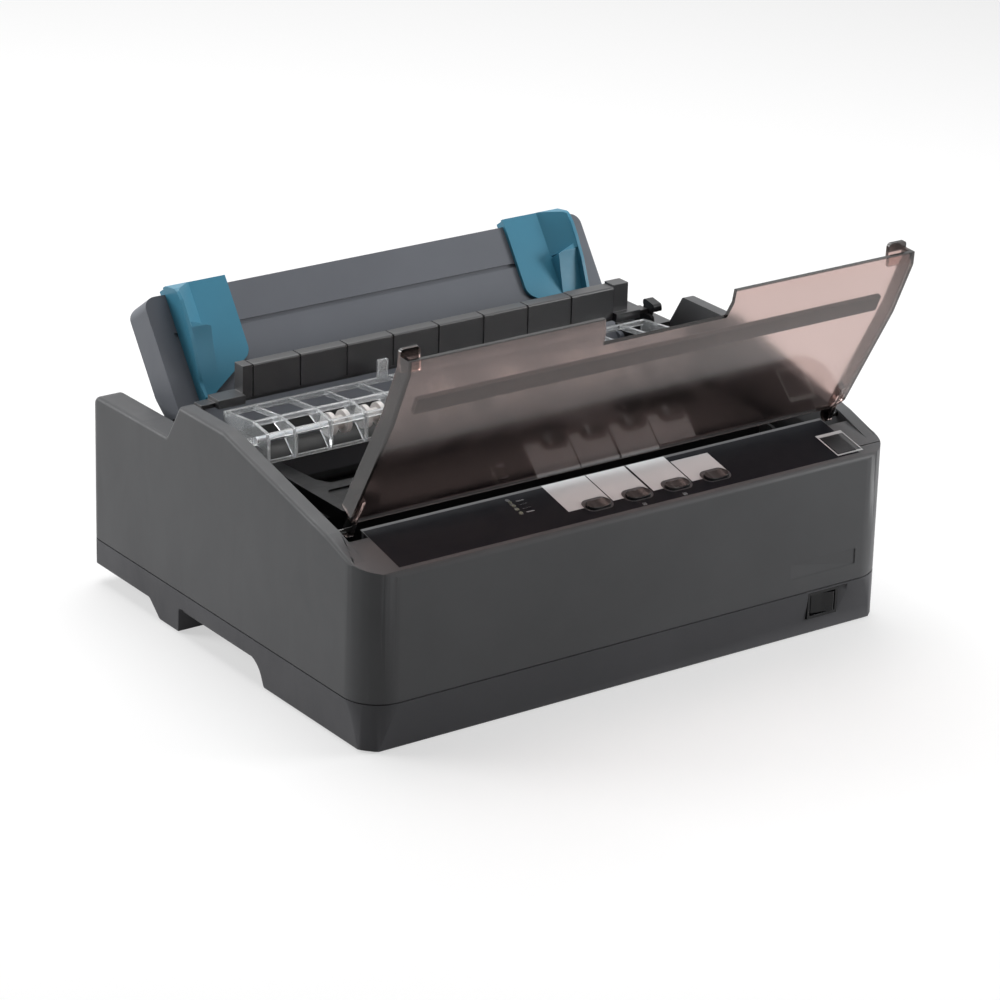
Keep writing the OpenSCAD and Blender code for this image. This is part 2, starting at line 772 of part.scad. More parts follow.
/* ---------- paper path ---------- */

rack_y0 = platen_y + 19;
rack_y1 = platen_y + 27.5;
rack_tip = 6.4;
rack_end = 10.4;

module paper_separator() {
    pitch = (2 * rack_half - rack_tip) / rack_segments;
    x0 = -rack_half + rack_tip;
    color("#101113") {
        difference() {
            block(-rack_half, rack_half, rack_y0, rack_y1, frame_top_z + 2, rack_z);
            // Grooves between the segments
            for (i = [0 : rack_segments]) translate([x0 + pitch * i, 0, 0]) {
                block(-0.4, 0.4, rack_y0 - 1, rack_y1 + 1, rack_z - 1.6, rack_z + 1);
                block(-0.5, 0.5, rack_y0 - 1, rack_y0 + 0.7, frame_top_z, rack_z + 1);
            }
            // Hollow rear of each segment
            for (i = [0 : rack_segments - 1]) translate([x0 + pitch * (i + 0.5), 0, 0])
                block(-pitch / 2 + 1.2, pitch / 2 - 1.2, rack_y0 + 2.2, rack_y1 + 1,
                    frame_top_z + 1, rack_z - 3);
        }
        // End post on the right, slightly taller and set back
        block(rack_half - 0.2, rack_half + rack_end, rack_y0 + 0.8, rack_y1 + 1, frame_top_z, rack_z + 1);
        block(-frame_x - frame_t, frame_x + frame_t, rack_y0 + 1, rack_y1, frame_top_z, frame_top_z + 2.6);
        both_sides() block(rack_half, rack_half + 17, rack_y0 - 3, rack_y1, frame_top_z, frame_top_z + 5);
    }
}

// Paper tension unit: a clear ladder frame with hanging fins, highest at its middle rail
unit_z = platen_z + 34;
unit_front = platen_y - 32;
unit_mid = platen_y - 18;
unit_rear = platen_y + 12;
rail = 2.6;
unit_front_z = unit_z - 2.6;
unit_rear_z = unit_z - 3;
seat_z = platen_z + 20;
tip_z = platen_z + 17.5;
shaft_y = platen_y - 20;
shaft_z = platen_z + 27;
fin_half = unit_half - 18;
fin_pitch = 2 * fin_half / (fin_count - 1);
roller_r = 6.4;
roller_x = [for (i = [1, 2, 4, 6, 8, 9]) fin_pitch * (i + 0.5) - fin_half];

// Side view of the ladder's cross bars, of height h
module spine_view(h) {
    polygon([[unit_front, unit_front_z], [unit_mid + rail / 2, unit_z], [unit_rear, unit_rear_z],
        [unit_rear, unit_rear_z + h], [unit_mid + rail / 2, unit_z + h], [unit_front, unit_front_z + h]]);
}

module fin_view() {
    polygon([[unit_front, unit_front_z + 1], [unit_front, tip_z + 1], [unit_front + 1.6, tip_z],
        [unit_front + 5, tip_z + 3.5], [unit_front + 11, tip_z + 9], [unit_mid + 9, unit_z - 2.5],
        [unit_mid + 9, unit_z], [unit_mid + rail / 2, unit_z + 1]]);
}

module tension_unit() {
    color("#dfe6ea", 0.45) {
        difference() {
            union() {
                for (p = [[unit_front, unit_front_z], [unit_mid, unit_z], [unit_rear - rail, unit_rear_z]])
                    block(-unit_half, unit_half, p.x, p.x + rail, p.y, p.y + rail);
                for (i = [0 : fin_count - 1]) translate([fin_pitch * i - fin_half, 0, 0]) {
                    across(-0.9, 1.8) spine_view(rail);
                    across(-0.8, 1.6) fin_view();
                    block(-1.3, 1.3, unit_front, unit_front + 1.2, tip_z + 0.5, unit_front_z + 1);
                }
                // Bar that joins the tips of the fins
                block(-unit_half, unit_half, unit_front, unit_front + 1.4, tip_z, tip_z + 1.6);
                both_sides() across(unit_half - 2, 2) polygon(rounded([
                    [unit_front, tip_z], [unit_front, unit_front_z + rail, 2],
                    [unit_mid + rail / 2, unit_z + rail, 6], [unit_rear, unit_rear_z + rail, 2],
                    [unit_rear, seat_z + 6, 4], [platen_y + 10, seat_z + 2]]));
            }
            x_rod(-unit_half - 1, unit_half + 1, shaft_y, shaft_z, 2 + bore_gap);
            for (x = roller_x) x_rod(x - 7, x + 7, shaft_y, shaft_z, roller_r + 0.8);
        }
        // Seats on the side frames and the upright release tab
        both_sides() block(unit_half - eps, frame_x + frame_t, platen_y - 14, platen_y - 4, seat_z, seat_z + 2);
        block(-43, -37, unit_rear - rail, unit_rear, unit_rear_z, unit_rear_z + 13);
    }
}

module tension_shaft() {
    color("#c8ccd0") x_rod(-unit_half, unit_half, shaft_y, shaft_z, 2);
}

module tension_rollers() {
    color("#d9d4d2") for (x = roller_x) difference() {
        union() {
            x_rod(x - 6, x + 6, shaft_y, shaft_z, 3.6);
            for (k = [-4.6, 4.6]) x_rod(x + k - 1.4, x + k + 1.4, shaft_y, shaft_z, roller_r);
        }
        x_rod(x - 9, x + 9, shaft_y, shaft_z, 2 + bore_gap);
    }
}

module platen() {
    color("#1b1b1c") difference() {
        x_rod(-platen_half, platen_half, platen_y, platen_z, platen_r);
        x_rod(-platen_half - 1, platen_half + 1, platen_y, platen_z, shaft_r);
    }
}

module platen_shaft() {
    color("#b9bcc0") x_rod(-gear_x - gear_w, half_w + 2, platen_y, platen_z, shaft_r);
}

module platen_knob() {
    ribs = 24;
    color("#2d2e30") difference() {
        union() {
            x_rod(half_w + 1, half_w + 14, platen_y, platen_z, knob_r - 0.8);
            translate([0, platen_y, platen_z]) for (i = [0 : ribs - 1]) rotate([i * 360 / ribs, 0, 0])
                block(half_w + 1.5, half_w + 12.5, -0.9, 0.9, knob_r - 2, knob_r);
            x_rod(half_w - 4, half_w + 2, platen_y, platen_z, shaft_r + 2);
        }
        x_rod(half_w - 6, half_w + 2, platen_y, platen_z, shaft_r);
        x_rod(half_w + 11.5, half_w + 15, platen_y, platen_z, knob_r - 4);
    }
}

// Line of centres from the platen to the tractor shaft, seen from the side
train_angle = atan2(tractor_z - platen_z, tractor_y - platen_y);
idler_r = gear_m * idler_teeth / 2;
platen_gear_r = gear_m * platen_teeth / 2;
idler_at = [platen_y, platen_z] + (platen_gear_r + idler_r) * [cos(train_angle), sin(train_angle)];
motor_angle = train_angle - 6 * 360 / platen_teeth;
pinion_r = gear_m * pinion_teeth / 2;
motor_at = [platen_y, platen_z] + (platen_gear_r + pinion_r) * [cos(motor_angle), sin(motor_angle)];

module platen_gear() {
    color("#e8e6dc") x_gear(platen_teeth, -gear_x - gear_w, gear_w, platen_y, platen_z, train_angle, shaft_r);
}

module idler_gear() {
    color("#e8e6dc") {
        x_gear(idler_teeth, -gear_x - gear_w, gear_w, idler_at.x, idler_at.y,
            train_angle + 180 + 180 / idler_teeth, 3 + bore_gap);
    }
}

module feed_pinion() {
    color("#c9a76a") {
        x_gear(pinion_teeth, -gear_x - gear_w, gear_w, motor_at.x, motor_at.y,
            motor_angle + 180 + 180 / pinion_teeth, spindle_r - eps);
        x_rod(-gear_x - gear_w, -frame_x + 6, motor_at.x, motor_at.y, spindle_r);
    }
}

module feed_motor() {
    color("#6d7074") {
        difference() {
            union() {
                x_rod(-frame_x, -frame_x + 20, motor_at.x, motor_at.y, 17);
                x_rod(-frame_x - frame_t, -frame_x + 1, motor_at.x, motor_at.y, 5);
            }
            x_rod(-gear_x, -frame_x + 6.5, motor_at.x, motor_at.y, spindle_r + bore_gap);
        }
    }
}

module frame_view() {
    polygon(rounded([
        [frame_front_y, frame_foot_z], [frame_front_y, platen_z - 6, 4],
        [frame_front_y + 18, platen_z + 2, 6], [rod_y - 6, platen_z + 6, 8], [unit_front - 2, seat_z, 3],
        [platen_y + 12, seat_z, 4], [platen_y + 14, frame_top_z, 2], [rack_y1 + 1, frame_top_z, 2],
        [rack_y1 + 3, pivot_z + 7, 3], [pivot_y + 9, pivot_z + 7, 5], [pivot_y + 13, platen_z + 2, 6],
        [frame_rear_y - 2, platen_z + 1, 6], [frame_rear_y, frame_foot_z]]));
}

module side_frame(left) {
    difference() {
        union() {
            across(frame_x, frame_t) frame_view();
            block(frame_x - foot_w, frame_x + eps, frame_front_y, frame_rear_y, frame_foot_z,
                frame_foot_z + 1.6);
            if (left) x_rod(frame_x + 1, gear_x + gear_w, idler_at.x, idler_at.y, 3);
            if (left) x_rod(frame_x + 1, lever_x + 4, thick_at.x, thick_at.y, stud_r);
            if (!left) x_rod(frame_x + 1, lever_x + 4, release_at.x, release_at.y, stud_r);
        }
        x_rod(frame_x - 1, frame_x + 4, platen_y, platen_z, shaft_r + bore_gap);
        x_rod(frame_x - 1, frame_x + 4, pivot_y, pivot_z, tray_pin_r + bore_gap);
        x_rod(frame_x - 1, frame_x + 4, tractor_y, tractor_z, shaft_r + bore_gap);
        if (left) x_rod(frame_x - 1, frame_x + 4, motor_at.x, motor_at.y, 5.2);
        across(frame_x - 1, 4) for (y = [16, 48]) translate([frame_front_y + y, frame_hole_z])
            circle(r = 9, $fn = fine);
        across(frame_x - 1, 4) translate([pivot_y + 4.3, frame_hole_z]) circle(r = 14, $fn = fine);
    }
}

module side_frame_left() { color("#18191b") mirror([1, 0, 0]) side_frame(true); }
module side_frame_right() { color("#18191b") side_frame(false); }

module base_plate() {
    slot_pitch = (frame_x - 29) / 3;
    color("#9a9ea3") difference() {
        block(-frame_x - frame_t, frame_x + frame_t, frame_front_y, frame_rear_y, pan_z, frame_foot_z);
        for (i = [-3 : 3]) block(slot_pitch * i - 8, slot_pitch * i + 8, platen_y - 58, platen_y - 8,
            pan_z - 1, frame_foot_z + 1);
    }
}

// Curved chute that leads a sheet from the paper guide under the platen
module paper_chute() {
    r = platen_r + 3;
    half = platen_half - 2;
    function arc_at(radius, a) = [platen_y, platen_z] + radius * [cos(a), sin(a)];
    color("#26272a") {
        across_centred(half) polygon(concat(
            [for (a = [-140 : 10 : -10]) arc_at(r, a)],
            [[pivot_y - 9.1, pivot_z - 1], [pivot_y - 7.5, pivot_z - 2.4]],
            [for (a = [-10 : -10 : -140]) arc_at(r + 2, a)]));
        both_sides() block(half - 3, half - 1, platen_y + 4, platen_y + 14, frame_foot_z, platen_z - r + 1);
    }
}

/* ---------- carriage ---------- */

rod_y = platen_y - 42;
rod_r = 4;
rail_y = platen_y - 84;
belt_y = platen_y - 62;
belt_z = guide_z - 8;
pulley_r = 6;

module guide_shaft() {
    color("#c5c9cd") x_rod(-frame_x + 0.2, frame_x - 0.2, rod_y, guide_z, rod_r);
}

module carriage_rail() {
    color("#8f9398") {
        block(-frame_x + gap, frame_x - gap, rail_y - 8, rail_y + 3, guide_z - 8, guide_z - 6);
        block(-frame_x + foot_w + gap, frame_x - foot_w - gap, rail_y - 8, rail_y - 6, frame_foot_z, guide_z - 7);
        // Post that carries the idler pulley
        translate([pulley_half, belt_y, frame_foot_z]) {
            cylinder(r = 5, h = belt_z - frame_foot_z - 5, $fn = medium);
            cylinder(r = 2, h = belt_z - frame_foot_z + 6, $fn = medium);
        }
    }
}

module carriage() {
    color("#232427") difference() {
        union() {
            block(carriage_x - 22, carriage_x + 22, rod_y - 8, rod_y + 8, guide_z - 7, guide_z + 8);
            block(carriage_x - 17, carriage_x + 17, rail_y + 1, rod_y, guide_z - 2, guide_z + 6);
            block(carriage_x - 10, carriage_x + 10, rail_y - 4, rail_y + 2, guide_z - 5.7, guide_z + 6);
            block(carriage_x - 9, carriage_x + 9, belt_y - pulley_r - 2.6, belt_y - pulley_r + 2.6,
                belt_z - 4, guide_z);
        }
        x_rod(carriage_x - 30, carriage_x + 30, rod_y, guide_z, rod_r + bore_gap);
        block(carriage_x - 30, carriage_x + 30, belt_y - pulley_r - 1.25, belt_y - pulley_r + 0.55,
            belt_z - 5, belt_z + 3.4);
    }
}

module print_head() {
    z0 = guide_z + 8;
    color("#34363a") {
        difference() {
            block(carriage_x - 19, carriage_x + 19, rod_y - 18, rod_y + 6, z0, platen_z + 10);
            for (i = [0 : 4]) block(carriage_x - 20, carriage_x + 20, rod_y - 16.5 + 4.2 * i,
                rod_y - 14.3 + 4.2 * i, z0 + 7, platen_z + 11);
        }
        block(carriage_x - 9, carriage_x + 9, rod_y + 5, rod_y + 18, platen_z - 8, platen_z + 8);
        block(carriage_x - 4, carriage_x + 4, rod_y + 17, platen_y - platen_r - 1.6, platen_z - 5, platen_z + 5);
    }
}

module timing_belt() {
    color("#111111") translate([0, belt_y, belt_z - 3]) linear_extrude(6) difference() {
        union() {
            square([2 * pulley_half, 2 * pulley_r + 2], center = true);
            for (s = [-1, 1]) translate([s * pulley_half, 0]) circle(r = pulley_r + 1, $fn = fine);
        }
        square([2 * pulley_half, 2 * pulley_r + 0.1], center = true);
        for (s = [-1, 1]) translate([s * pulley_half, 0]) circle(r = pulley_r + 0.05, $fn = fine);
    }
}

module pulley(s, bore) {
    translate([s * pulley_half, belt_y, belt_z]) difference() {
        union() {
            translate([0, 0, -4]) cylinder(r = pulley_r, h = 8, $fn = fine);
            for (z = [-4.6, 3.4]) translate([0, 0, z]) cylinder(r = pulley_r + 2, h = 1.2, $fn = fine);
        }
        translate([0, 0, -6]) cylinder(r = bore, h = 12, $fn = medium);
    }
}

module drive_pulley() {
    color("#c9a76a") {
        pulley(-1, spindle_r - eps);
        translate([-pulley_half, belt_y, belt_z - 16]) cylinder(r = spindle_r, h = 21, $fn = medium);
    }
}

module idler_pulley() { color("#d6d6d2") pulley(1, 2 + bore_gap); }

module carriage_motor() {
    color("#74777b") translate([-pulley_half, belt_y, 0]) {
        difference() {
            union() {
                translate([0, 0, frame_foot_z]) cylinder(r = 15, h = belt_z - frame_foot_z - 8, $fn = fine);
                translate([0, 0, belt_z - 9]) cylinder(r = 6, h = 3.6, $fn = medium);
            }
            translate([0, 0, belt_z - 18]) cylinder(r = spindle_r + bore_gap, h = 20, $fn = medium);
        }
    }
}

/* ---------- ribbon ---------- */

ribbon_z0 = platen_z - 3;
ribbon_z1 = platen_z + 14;
ribbon_y0 = rail_y - 20;
ribbon_knob_at = [-ribbon_half + 23, ribbon_y0 + 18];

module ribbon_cartridge() {
    color("#1d1e20") difference() {
        union() {
            translate([0, 0, ribbon_z0]) linear_extrude(ribbon_z1 - ribbon_z0) polygon(rounded([
                [-ribbon_half, ribbon_y0, 5], [ribbon_half, ribbon_y0, 5],
                [ribbon_half, platen_y - 22, 2], [ribbon_half - 9, platen_y - 19, 2],
                [ribbon_half - 12, rod_y - 14, 3], [ribbon_half - 16, rod_y - 22, 4],
                [-ribbon_half + 16, rod_y - 22, 4], [-ribbon_half + 12, rod_y - 14, 3],
                [-ribbon_half + 9, platen_y - 19, 2], [-ribbon_half, platen_y - 22, 2]]));
            both_sides() block(ribbon_half - eps, frame_x - gap, ribbon_y0 + 16, ribbon_y0 + 26,
                ribbon_z0 + 6, ribbon_z0 + 9);
        }
        translate([0, 0, ribbon_z1 - 1]) linear_extrude(3) polygon(rounded([
            [-ribbon_half + 8, ribbon_y0 + 4, 3], [ribbon_half - 8, ribbon_y0 + 4, 3],
            [ribbon_half - 8, rod_y - 30, 3], [-ribbon_half + 8, rod_y - 30, 3]]));
        translate([ribbon_knob_at.x, ribbon_knob_at.y, ribbon_z0 - 1]) cylinder(r = 4 + bore_gap, h = 30, $fn = medium);
        both_sides() block(ribbon_half - 10, ribbon_half - 2.5, platen_y - 22.5, platen_y - 8,
            ribbon_z0 + 2, ribbon_z1 - 2);
    }
}

module ribbon_band() {
    y = platen_y - platen_r - 1;
    color("#0c0c0e") {
        block(-ribbon_half + 10.3, ribbon_half - 10.3, y, y + 0.3, platen_z - 2, platen_z + 11);
        both_sides() block(ribbon_half - 11, ribbon_half - 10, platen_y - 21, y + 0.3,
            platen_z - 1, platen_z + 10);
    }
}

module ribbon_knob() {
    color("#3a3b3e") translate([ribbon_knob_at.x, ribbon_knob_at.y, 0]) {
        translate([0, 0, ribbon_z0]) cylinder(r = 4, h = ribbon_z1 - ribbon_z0 + 1, $fn = medium);
        translate([0, 0, ribbon_z1 + gap]) difference() {
            cylinder(r = 8, h = 5, $fn = medium);
            for (a = [0 : 45 : 315]) rotate(a) translate([9, 0, -1]) cylinder(r = 1.6, h = 8, $fn = 24);
        }
    }
}

/* ---------- tractors ---------- */

tractor_w = 20;
support_y = tractor_y + 17;
support_z = tractor_z - 7;
drive_half = 3;

// Side view of a tractor's plate, with its ears for the cover's hinge
module tractor_view() {
    polygon(rounded([[tractor_y - 17, tractor_z - 10, 4], [tractor_y - 17, tractor_z + 7, 5],
        [tractor_y, tractor_z + 10, 6], [tractor_y + 22, tractor_z + 10.5, 2],
        [tractor_y + 24, tractor_z - 13, 4]]));
}

flap_z = tractor_z + 13;
flap_y = tractor_y + 1;
flap_l = 19;
flap_x = tractor_x + 17;

module tractor_body() {
    color("#2a2b2e") difference() {
        union() {
            across(tractor_x, 4.5) tractor_view();
            across(tractor_x + 14, 6) tractor_view();
            block(tractor_x + 4, tractor_x + 15, tractor_y + 12.5, tractor_y + 22, tractor_z - 11, tractor_z);
            // Ears for the hinge pins of the cover
            for (y = [flap_y - 2 - gap, flap_y + flap_l + gap]) difference() {
                block(flap_x - 2.4, flap_x + 2.4, y, y + 2, tractor_z + 9, flap_z + 1.4);
                translate([flap_x, y - 1, flap_z - 1]) rotate([-90, 0, 0])
                    cylinder(r = 1 + bore_gap, h = 4, $fn = medium);
            }
        }
        x_rod(tractor_x - 1, tractor_x + tractor_w + 1, tractor_y, tractor_z, 6 + bore_gap);
        x_rod(tractor_x - 1, tractor_x + tractor_w + 1, support_y, support_z, 3 + bore_gap);
    }
}

module sprocket() {
    color("#e4e2da") difference() {
        union() {
            x_rod(tractor_x + 0.5, tractor_x + tractor_w - 0.5, tractor_y, tractor_z, 6);
            x_rod(tractor_x + 4.5 + gap, tractor_x + 14 - gap, tractor_y, tractor_z, 9.4);
            translate([0, tractor_y, tractor_z]) for (a = [0 : 36 : 324]) rotate([a, 0, 0])
                translate([tractor_x + 9.2, 0, 8.4]) cylinder(r = 1.6, h = 3.2, $fn = 24);
        }
        // Square bore that rides on the drive shaft
        block(tractor_x - 2, tractor_x + tractor_w + 2, tractor_y - drive_half - 0.08,
            tractor_y + drive_half + 0.08, tractor_z - drive_half - 0.08, tractor_z + drive_half + 0.08);
    }
}

module tractor_cover() {
    color("#35363a") {
        difference() {
            block(tractor_x + 1, flap_x + 1.2, flap_y, flap_y + flap_l, flap_z - 0.9, flap_z + 1);
            block(tractor_x + 7, tractor_x + 11.4, flap_y - 1, flap_y + 13, flap_z - 3, flap_z + 3);
        }
        translate([flap_x, flap_y - 1.6, flap_z - 1]) rotate([-90, 0, 0])
            cylinder(r = 1, h = flap_l + 3.2, $fn = medium);
    }
}

module lock_lever() {
    color("#d8d6d0") difference() {
        union() {
            x_rod(tractor_x + tractor_w + gap, tractor_x + tractor_w + 2.5, support_y, support_z, 6);
            across(tractor_x + tractor_w + gap, 2.2) translate([support_y, support_z])
                polygon(rounded([[-3, 0, 0], [3, 0, 0], [5, 17, 2], [0, 18, 2]]));
        }
        x_rod(tractor_x, tractor_x + tractor_w + 9, support_y, support_z, 3 + bore_gap);
    }
}

module tractor_left() { mirror([1, 0, 0]) tractor_body(); }
module tractor_right() { tractor_body(); }
module sprocket_left() { mirror([1, 0, 0]) sprocket(); }
module sprocket_right() { sprocket(); }
module tractor_cover_left() { mirror([1, 0, 0]) tractor_cover(); }
module tractor_cover_right() { tractor_cover(); }
module lock_lever_left() { mirror([1, 0, 0]) lock_lever(); }
module lock_lever_right() { lock_lever(); }

module tractor_drive_shaft() {
    color("#b9bcc0") {
        block(-frame_x + 0.5, frame_x - 0.5, tractor_y - drive_half, tractor_y + drive_half,
            tractor_z - drive_half, tractor_z + drive_half);
        x_rod(-gear_x - gear_w, -frame_x + 1, tractor_y, tractor_z, shaft_r);
        x_rod(frame_x - 1, frame_x + frame_t + 1, tractor_y, tractor_z, shaft_r);
    }
}

module tractor_gear() {
    color("#e8e6dc") x_gear(platen_teeth, -gear_x - gear_w, gear_w, tractor_y, tractor_z,
        train_angle + 180, shaft_r);
}

module tractor_support_shaft() {
    color("#b9bcc0") x_rod(-frame_x + 0.1, frame_x - 0.1, support_y, support_z, 3);
}

/* ---------- levers ---------- */

// A lever outline that is drawn from its stud at the point p of the side view
module lever(w, p, points) {
    across(lever_x, w) translate(p) polygon(rounded(points));
}

module release_lever() {
    color("#2d2e30") difference() {
        union() {
            lever(3, release_at, [[-5, -2, 5], [5, -2, 5], [-2, 30, 3], [-5, 38, 2], [-12, 37, 2], [-8, 28, 3]]);
            lever(5.6, release_at, [[-15, 34, 1.5], [-4, 36.5, 1.5], [-3, 41, 2], [-14, 39, 2]]);
            x_rod(lever_x, lever_x + 4, release_at.x, release_at.y, 6);
        }
        x_rod(lever_x - 1, lever_x + 9, release_at.x, release_at.y, stud_r + bore_gap);
    }
}

module thickness_lever() {
    color("#2d2e30") mirror([1, 0, 0]) difference() {
        union() {
            lever(2.6, thick_at, [[-5, -5, 4], [5, -5, 4], [5, 21, 2], [1, 31, 2], [-4, 30, 2], [-1, 19, 2]]);
            lever(6, thick_at, [[-5, 26, 1.5], [2, 28, 1.5], [0, 34, 2], [-6, 32, 2]]);
        }
        x_rod(lever_x - 1, lever_x + 9, thick_at.x, thick_at.y, stud_r + bore_gap);
    }
}

/* ---------- electronics ---------- */

module main_board() {
    color("#2f5d3a") {
        block(-100, 60, platen_y + 14, rear_y - 10.75, frame_foot_z + 5, frame_foot_z + 6.6);
        for (x = [-96, 56], y = [56, 116]) translate([x, y, frame_foot_z])
            cylinder(r = 3, h = 5 + eps, $fn = medium);
        block(-60, -34, 70, 96, frame_foot_z + 6.6 - eps, frame_foot_z + 10);
        block(-10, 20, 64, 80, frame_foot_z + 6.6 - eps, frame_foot_z + 11);
        for (x = [30, 44]) translate([x, 100, frame_foot_z + 6.5]) cylinder(r = 5, h = 14, $fn = medium);
    }
}

inlet_d = 22;
core_gap = 3.75;

module transformer() {
    y1 = rear_y - inlet_d - core_gap;
    color("#7d7f82") {
        block(62, 118, y1 - 56, y1 - 8, frame_foot_z, 62);
        block(70, 110, y1 - 64, y1, frame_foot_z + 7, 55);
    }
}

module ac_inlet() {
    color("#141414") difference() {
        union() {
            block(inlet_x - 13.7, inlet_x + 13.7, rear_y - inlet_d, rear_y, inlet_z - 10.2, inlet_z + 10.2);
            block(inlet_x - 18, inlet_x + 18, rear_y - wall - 3, rear_y - wall, inlet_z - 13, inlet_z + 13);
        }
        block(inlet_x - 11.5, inlet_x + 11.5, rear_y - 17, rear_y + 2, inlet_z - 8, inlet_z + 8);
    }
}

module interface_ports() {
    color("#a9acb0") {
        difference() {
            union() {
                block(port_x - 35.7, port_x + 35.7, rear_y - 16, rear_y, port_z - 7.7, port_z + 7.7);
                block(port_x - 39, port_x + 39, rear_y - wall - 3, rear_y - wall, port_z - 10, port_z + 10);
            }
            block(port_x - 31, port_x + 31, rear_y - 9, rear_y + 2, port_z - 5, port_z + 5);
        }
        block(port_x - 27, port_x + 27, rear_y - 10, rear_y - 1, port_z - 1.6, port_z + 1.6);
        difference() {
            union() {
                block(port_x + 52.3, port_x + 65.7, rear_y - 16, rear_y, port_z - 6.2, port_z + 6.2);
                block(port_x + 50, port_x + 68, rear_y - wall - 3, rear_y - wall, port_z - 9, port_z + 9);
            }
            block(port_x + 54.5, port_x + 63.5, rear_y - 12, rear_y + 2, port_z - 4.2, port_z + 4.2);
        }
    }
}

module case_screws() {
    color("#8d9094") for (s = [-1, 1], y = screw_y) translate([s * pad_x, y, 0]) {
        translate([0, 0, foot_top_z - 2.2]) cylinder(r = 3.2, h = 2.2, $fn = medium);
        translate([0, 0, foot_top_z - 1]) cylinder(r = screw_r, h = seam_z + 10 - foot_top_z, $fn = medium);
    }
}

lower_case();
rubber_feet();
upper_case();
printer_cover();
cover_cushion();
tear_off_button();
font_button();
feed_button();
pause_button();
status_lights();
panel_board();
switch_body();
power_rocker();
paper_guide();
edge_guide_left();
edge_guide_right();
paper_separator();
tension_unit();
tension_shaft();
tension_rollers();
platen();
platen_shaft();
platen_knob();
platen_gear();
idler_gear();
feed_motor();
feed_pinion();
side_frame_left();
side_frame_right();
base_plate();
paper_chute();
guide_shaft();
carriage_rail();
carriage();
print_head();
timing_belt();
carriage_motor();
drive_pulley();
idler_pulley();
ribbon_cartridge();
ribbon_band();
ribbon_knob();
tractor_left();
tractor_right();
sprocket_left();
sprocket_right();
tractor_cover_left();
tractor_cover_right();
lock_lever_left();
lock_lever_right();
tractor_drive_shaft();
tractor_gear();
tractor_support_shaft();
release_lever();
thickness_lever();
main_board();
transformer();
ac_inlet();
interface_ports();
case_screws();
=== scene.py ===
"""A narrow dot matrix printer with its smoke cover open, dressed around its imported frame."""
import json
import math

import bmesh
import bpy
from mathutils import Matrix, Vector

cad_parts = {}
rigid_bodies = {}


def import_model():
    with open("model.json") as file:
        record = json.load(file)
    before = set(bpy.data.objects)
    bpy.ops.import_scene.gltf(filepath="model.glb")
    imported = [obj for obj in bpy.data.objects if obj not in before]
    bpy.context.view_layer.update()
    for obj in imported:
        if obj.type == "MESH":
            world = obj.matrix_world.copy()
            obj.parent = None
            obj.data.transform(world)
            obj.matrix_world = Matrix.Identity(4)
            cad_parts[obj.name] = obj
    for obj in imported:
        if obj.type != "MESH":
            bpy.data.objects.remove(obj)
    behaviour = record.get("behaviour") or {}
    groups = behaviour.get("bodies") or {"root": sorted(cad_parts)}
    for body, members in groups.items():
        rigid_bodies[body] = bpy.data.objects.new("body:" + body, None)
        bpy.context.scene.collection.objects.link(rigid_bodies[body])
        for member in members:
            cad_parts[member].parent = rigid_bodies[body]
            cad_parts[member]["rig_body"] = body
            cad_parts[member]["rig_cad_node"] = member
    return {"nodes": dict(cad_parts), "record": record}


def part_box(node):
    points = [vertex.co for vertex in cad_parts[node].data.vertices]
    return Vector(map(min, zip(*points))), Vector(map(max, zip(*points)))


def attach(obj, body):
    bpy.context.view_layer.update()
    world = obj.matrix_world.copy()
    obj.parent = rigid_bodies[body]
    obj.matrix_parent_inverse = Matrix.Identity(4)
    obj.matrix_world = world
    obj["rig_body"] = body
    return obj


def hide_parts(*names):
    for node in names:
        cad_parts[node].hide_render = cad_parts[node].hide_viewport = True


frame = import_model()
NODES = frame["nodes"]
BODY_OF = {n: b for b, members in frame["record"]["behaviour"]["bodies"].items() for n in members}
SLOT_OF = {s["node"]: s["material_slot"] for s in frame["record"]["subparts"]}
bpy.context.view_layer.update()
MM = 0.001  # a millimetre in metres


# ---------------------------------------------------------------- shared shader groups

def group(name, inputs, outputs):
    """A new shader node group with float or colour sockets and its two end nodes."""
    tree = bpy.data.node_groups.new(name, "ShaderNodeTree")
    for label, kind, value in inputs:
        socket = tree.interface.new_socket(label, in_out="INPUT", socket_type=kind)
        if value is not None:
            socket.default_value = value
    for label, kind in outputs:
        tree.interface.new_socket(label, in_out="OUTPUT", socket_type=kind)
    return tree, tree.nodes.new("NodeGroupInput"), tree.nodes.new("NodeGroupOutput")


def add(tree, kind, **settings):
    """A new node with its properties and, under inputs, its socket values."""
    node = tree.nodes.new(kind)
    values = settings.pop("inputs", {})
    for key, value in settings.items():
        setattr(node, key, value)
    for key, value in values.items():
        node.inputs[key].default_value = value
    return node


FLOAT, COLOR = "NodeSocketFloat", "NodeSocketColor"


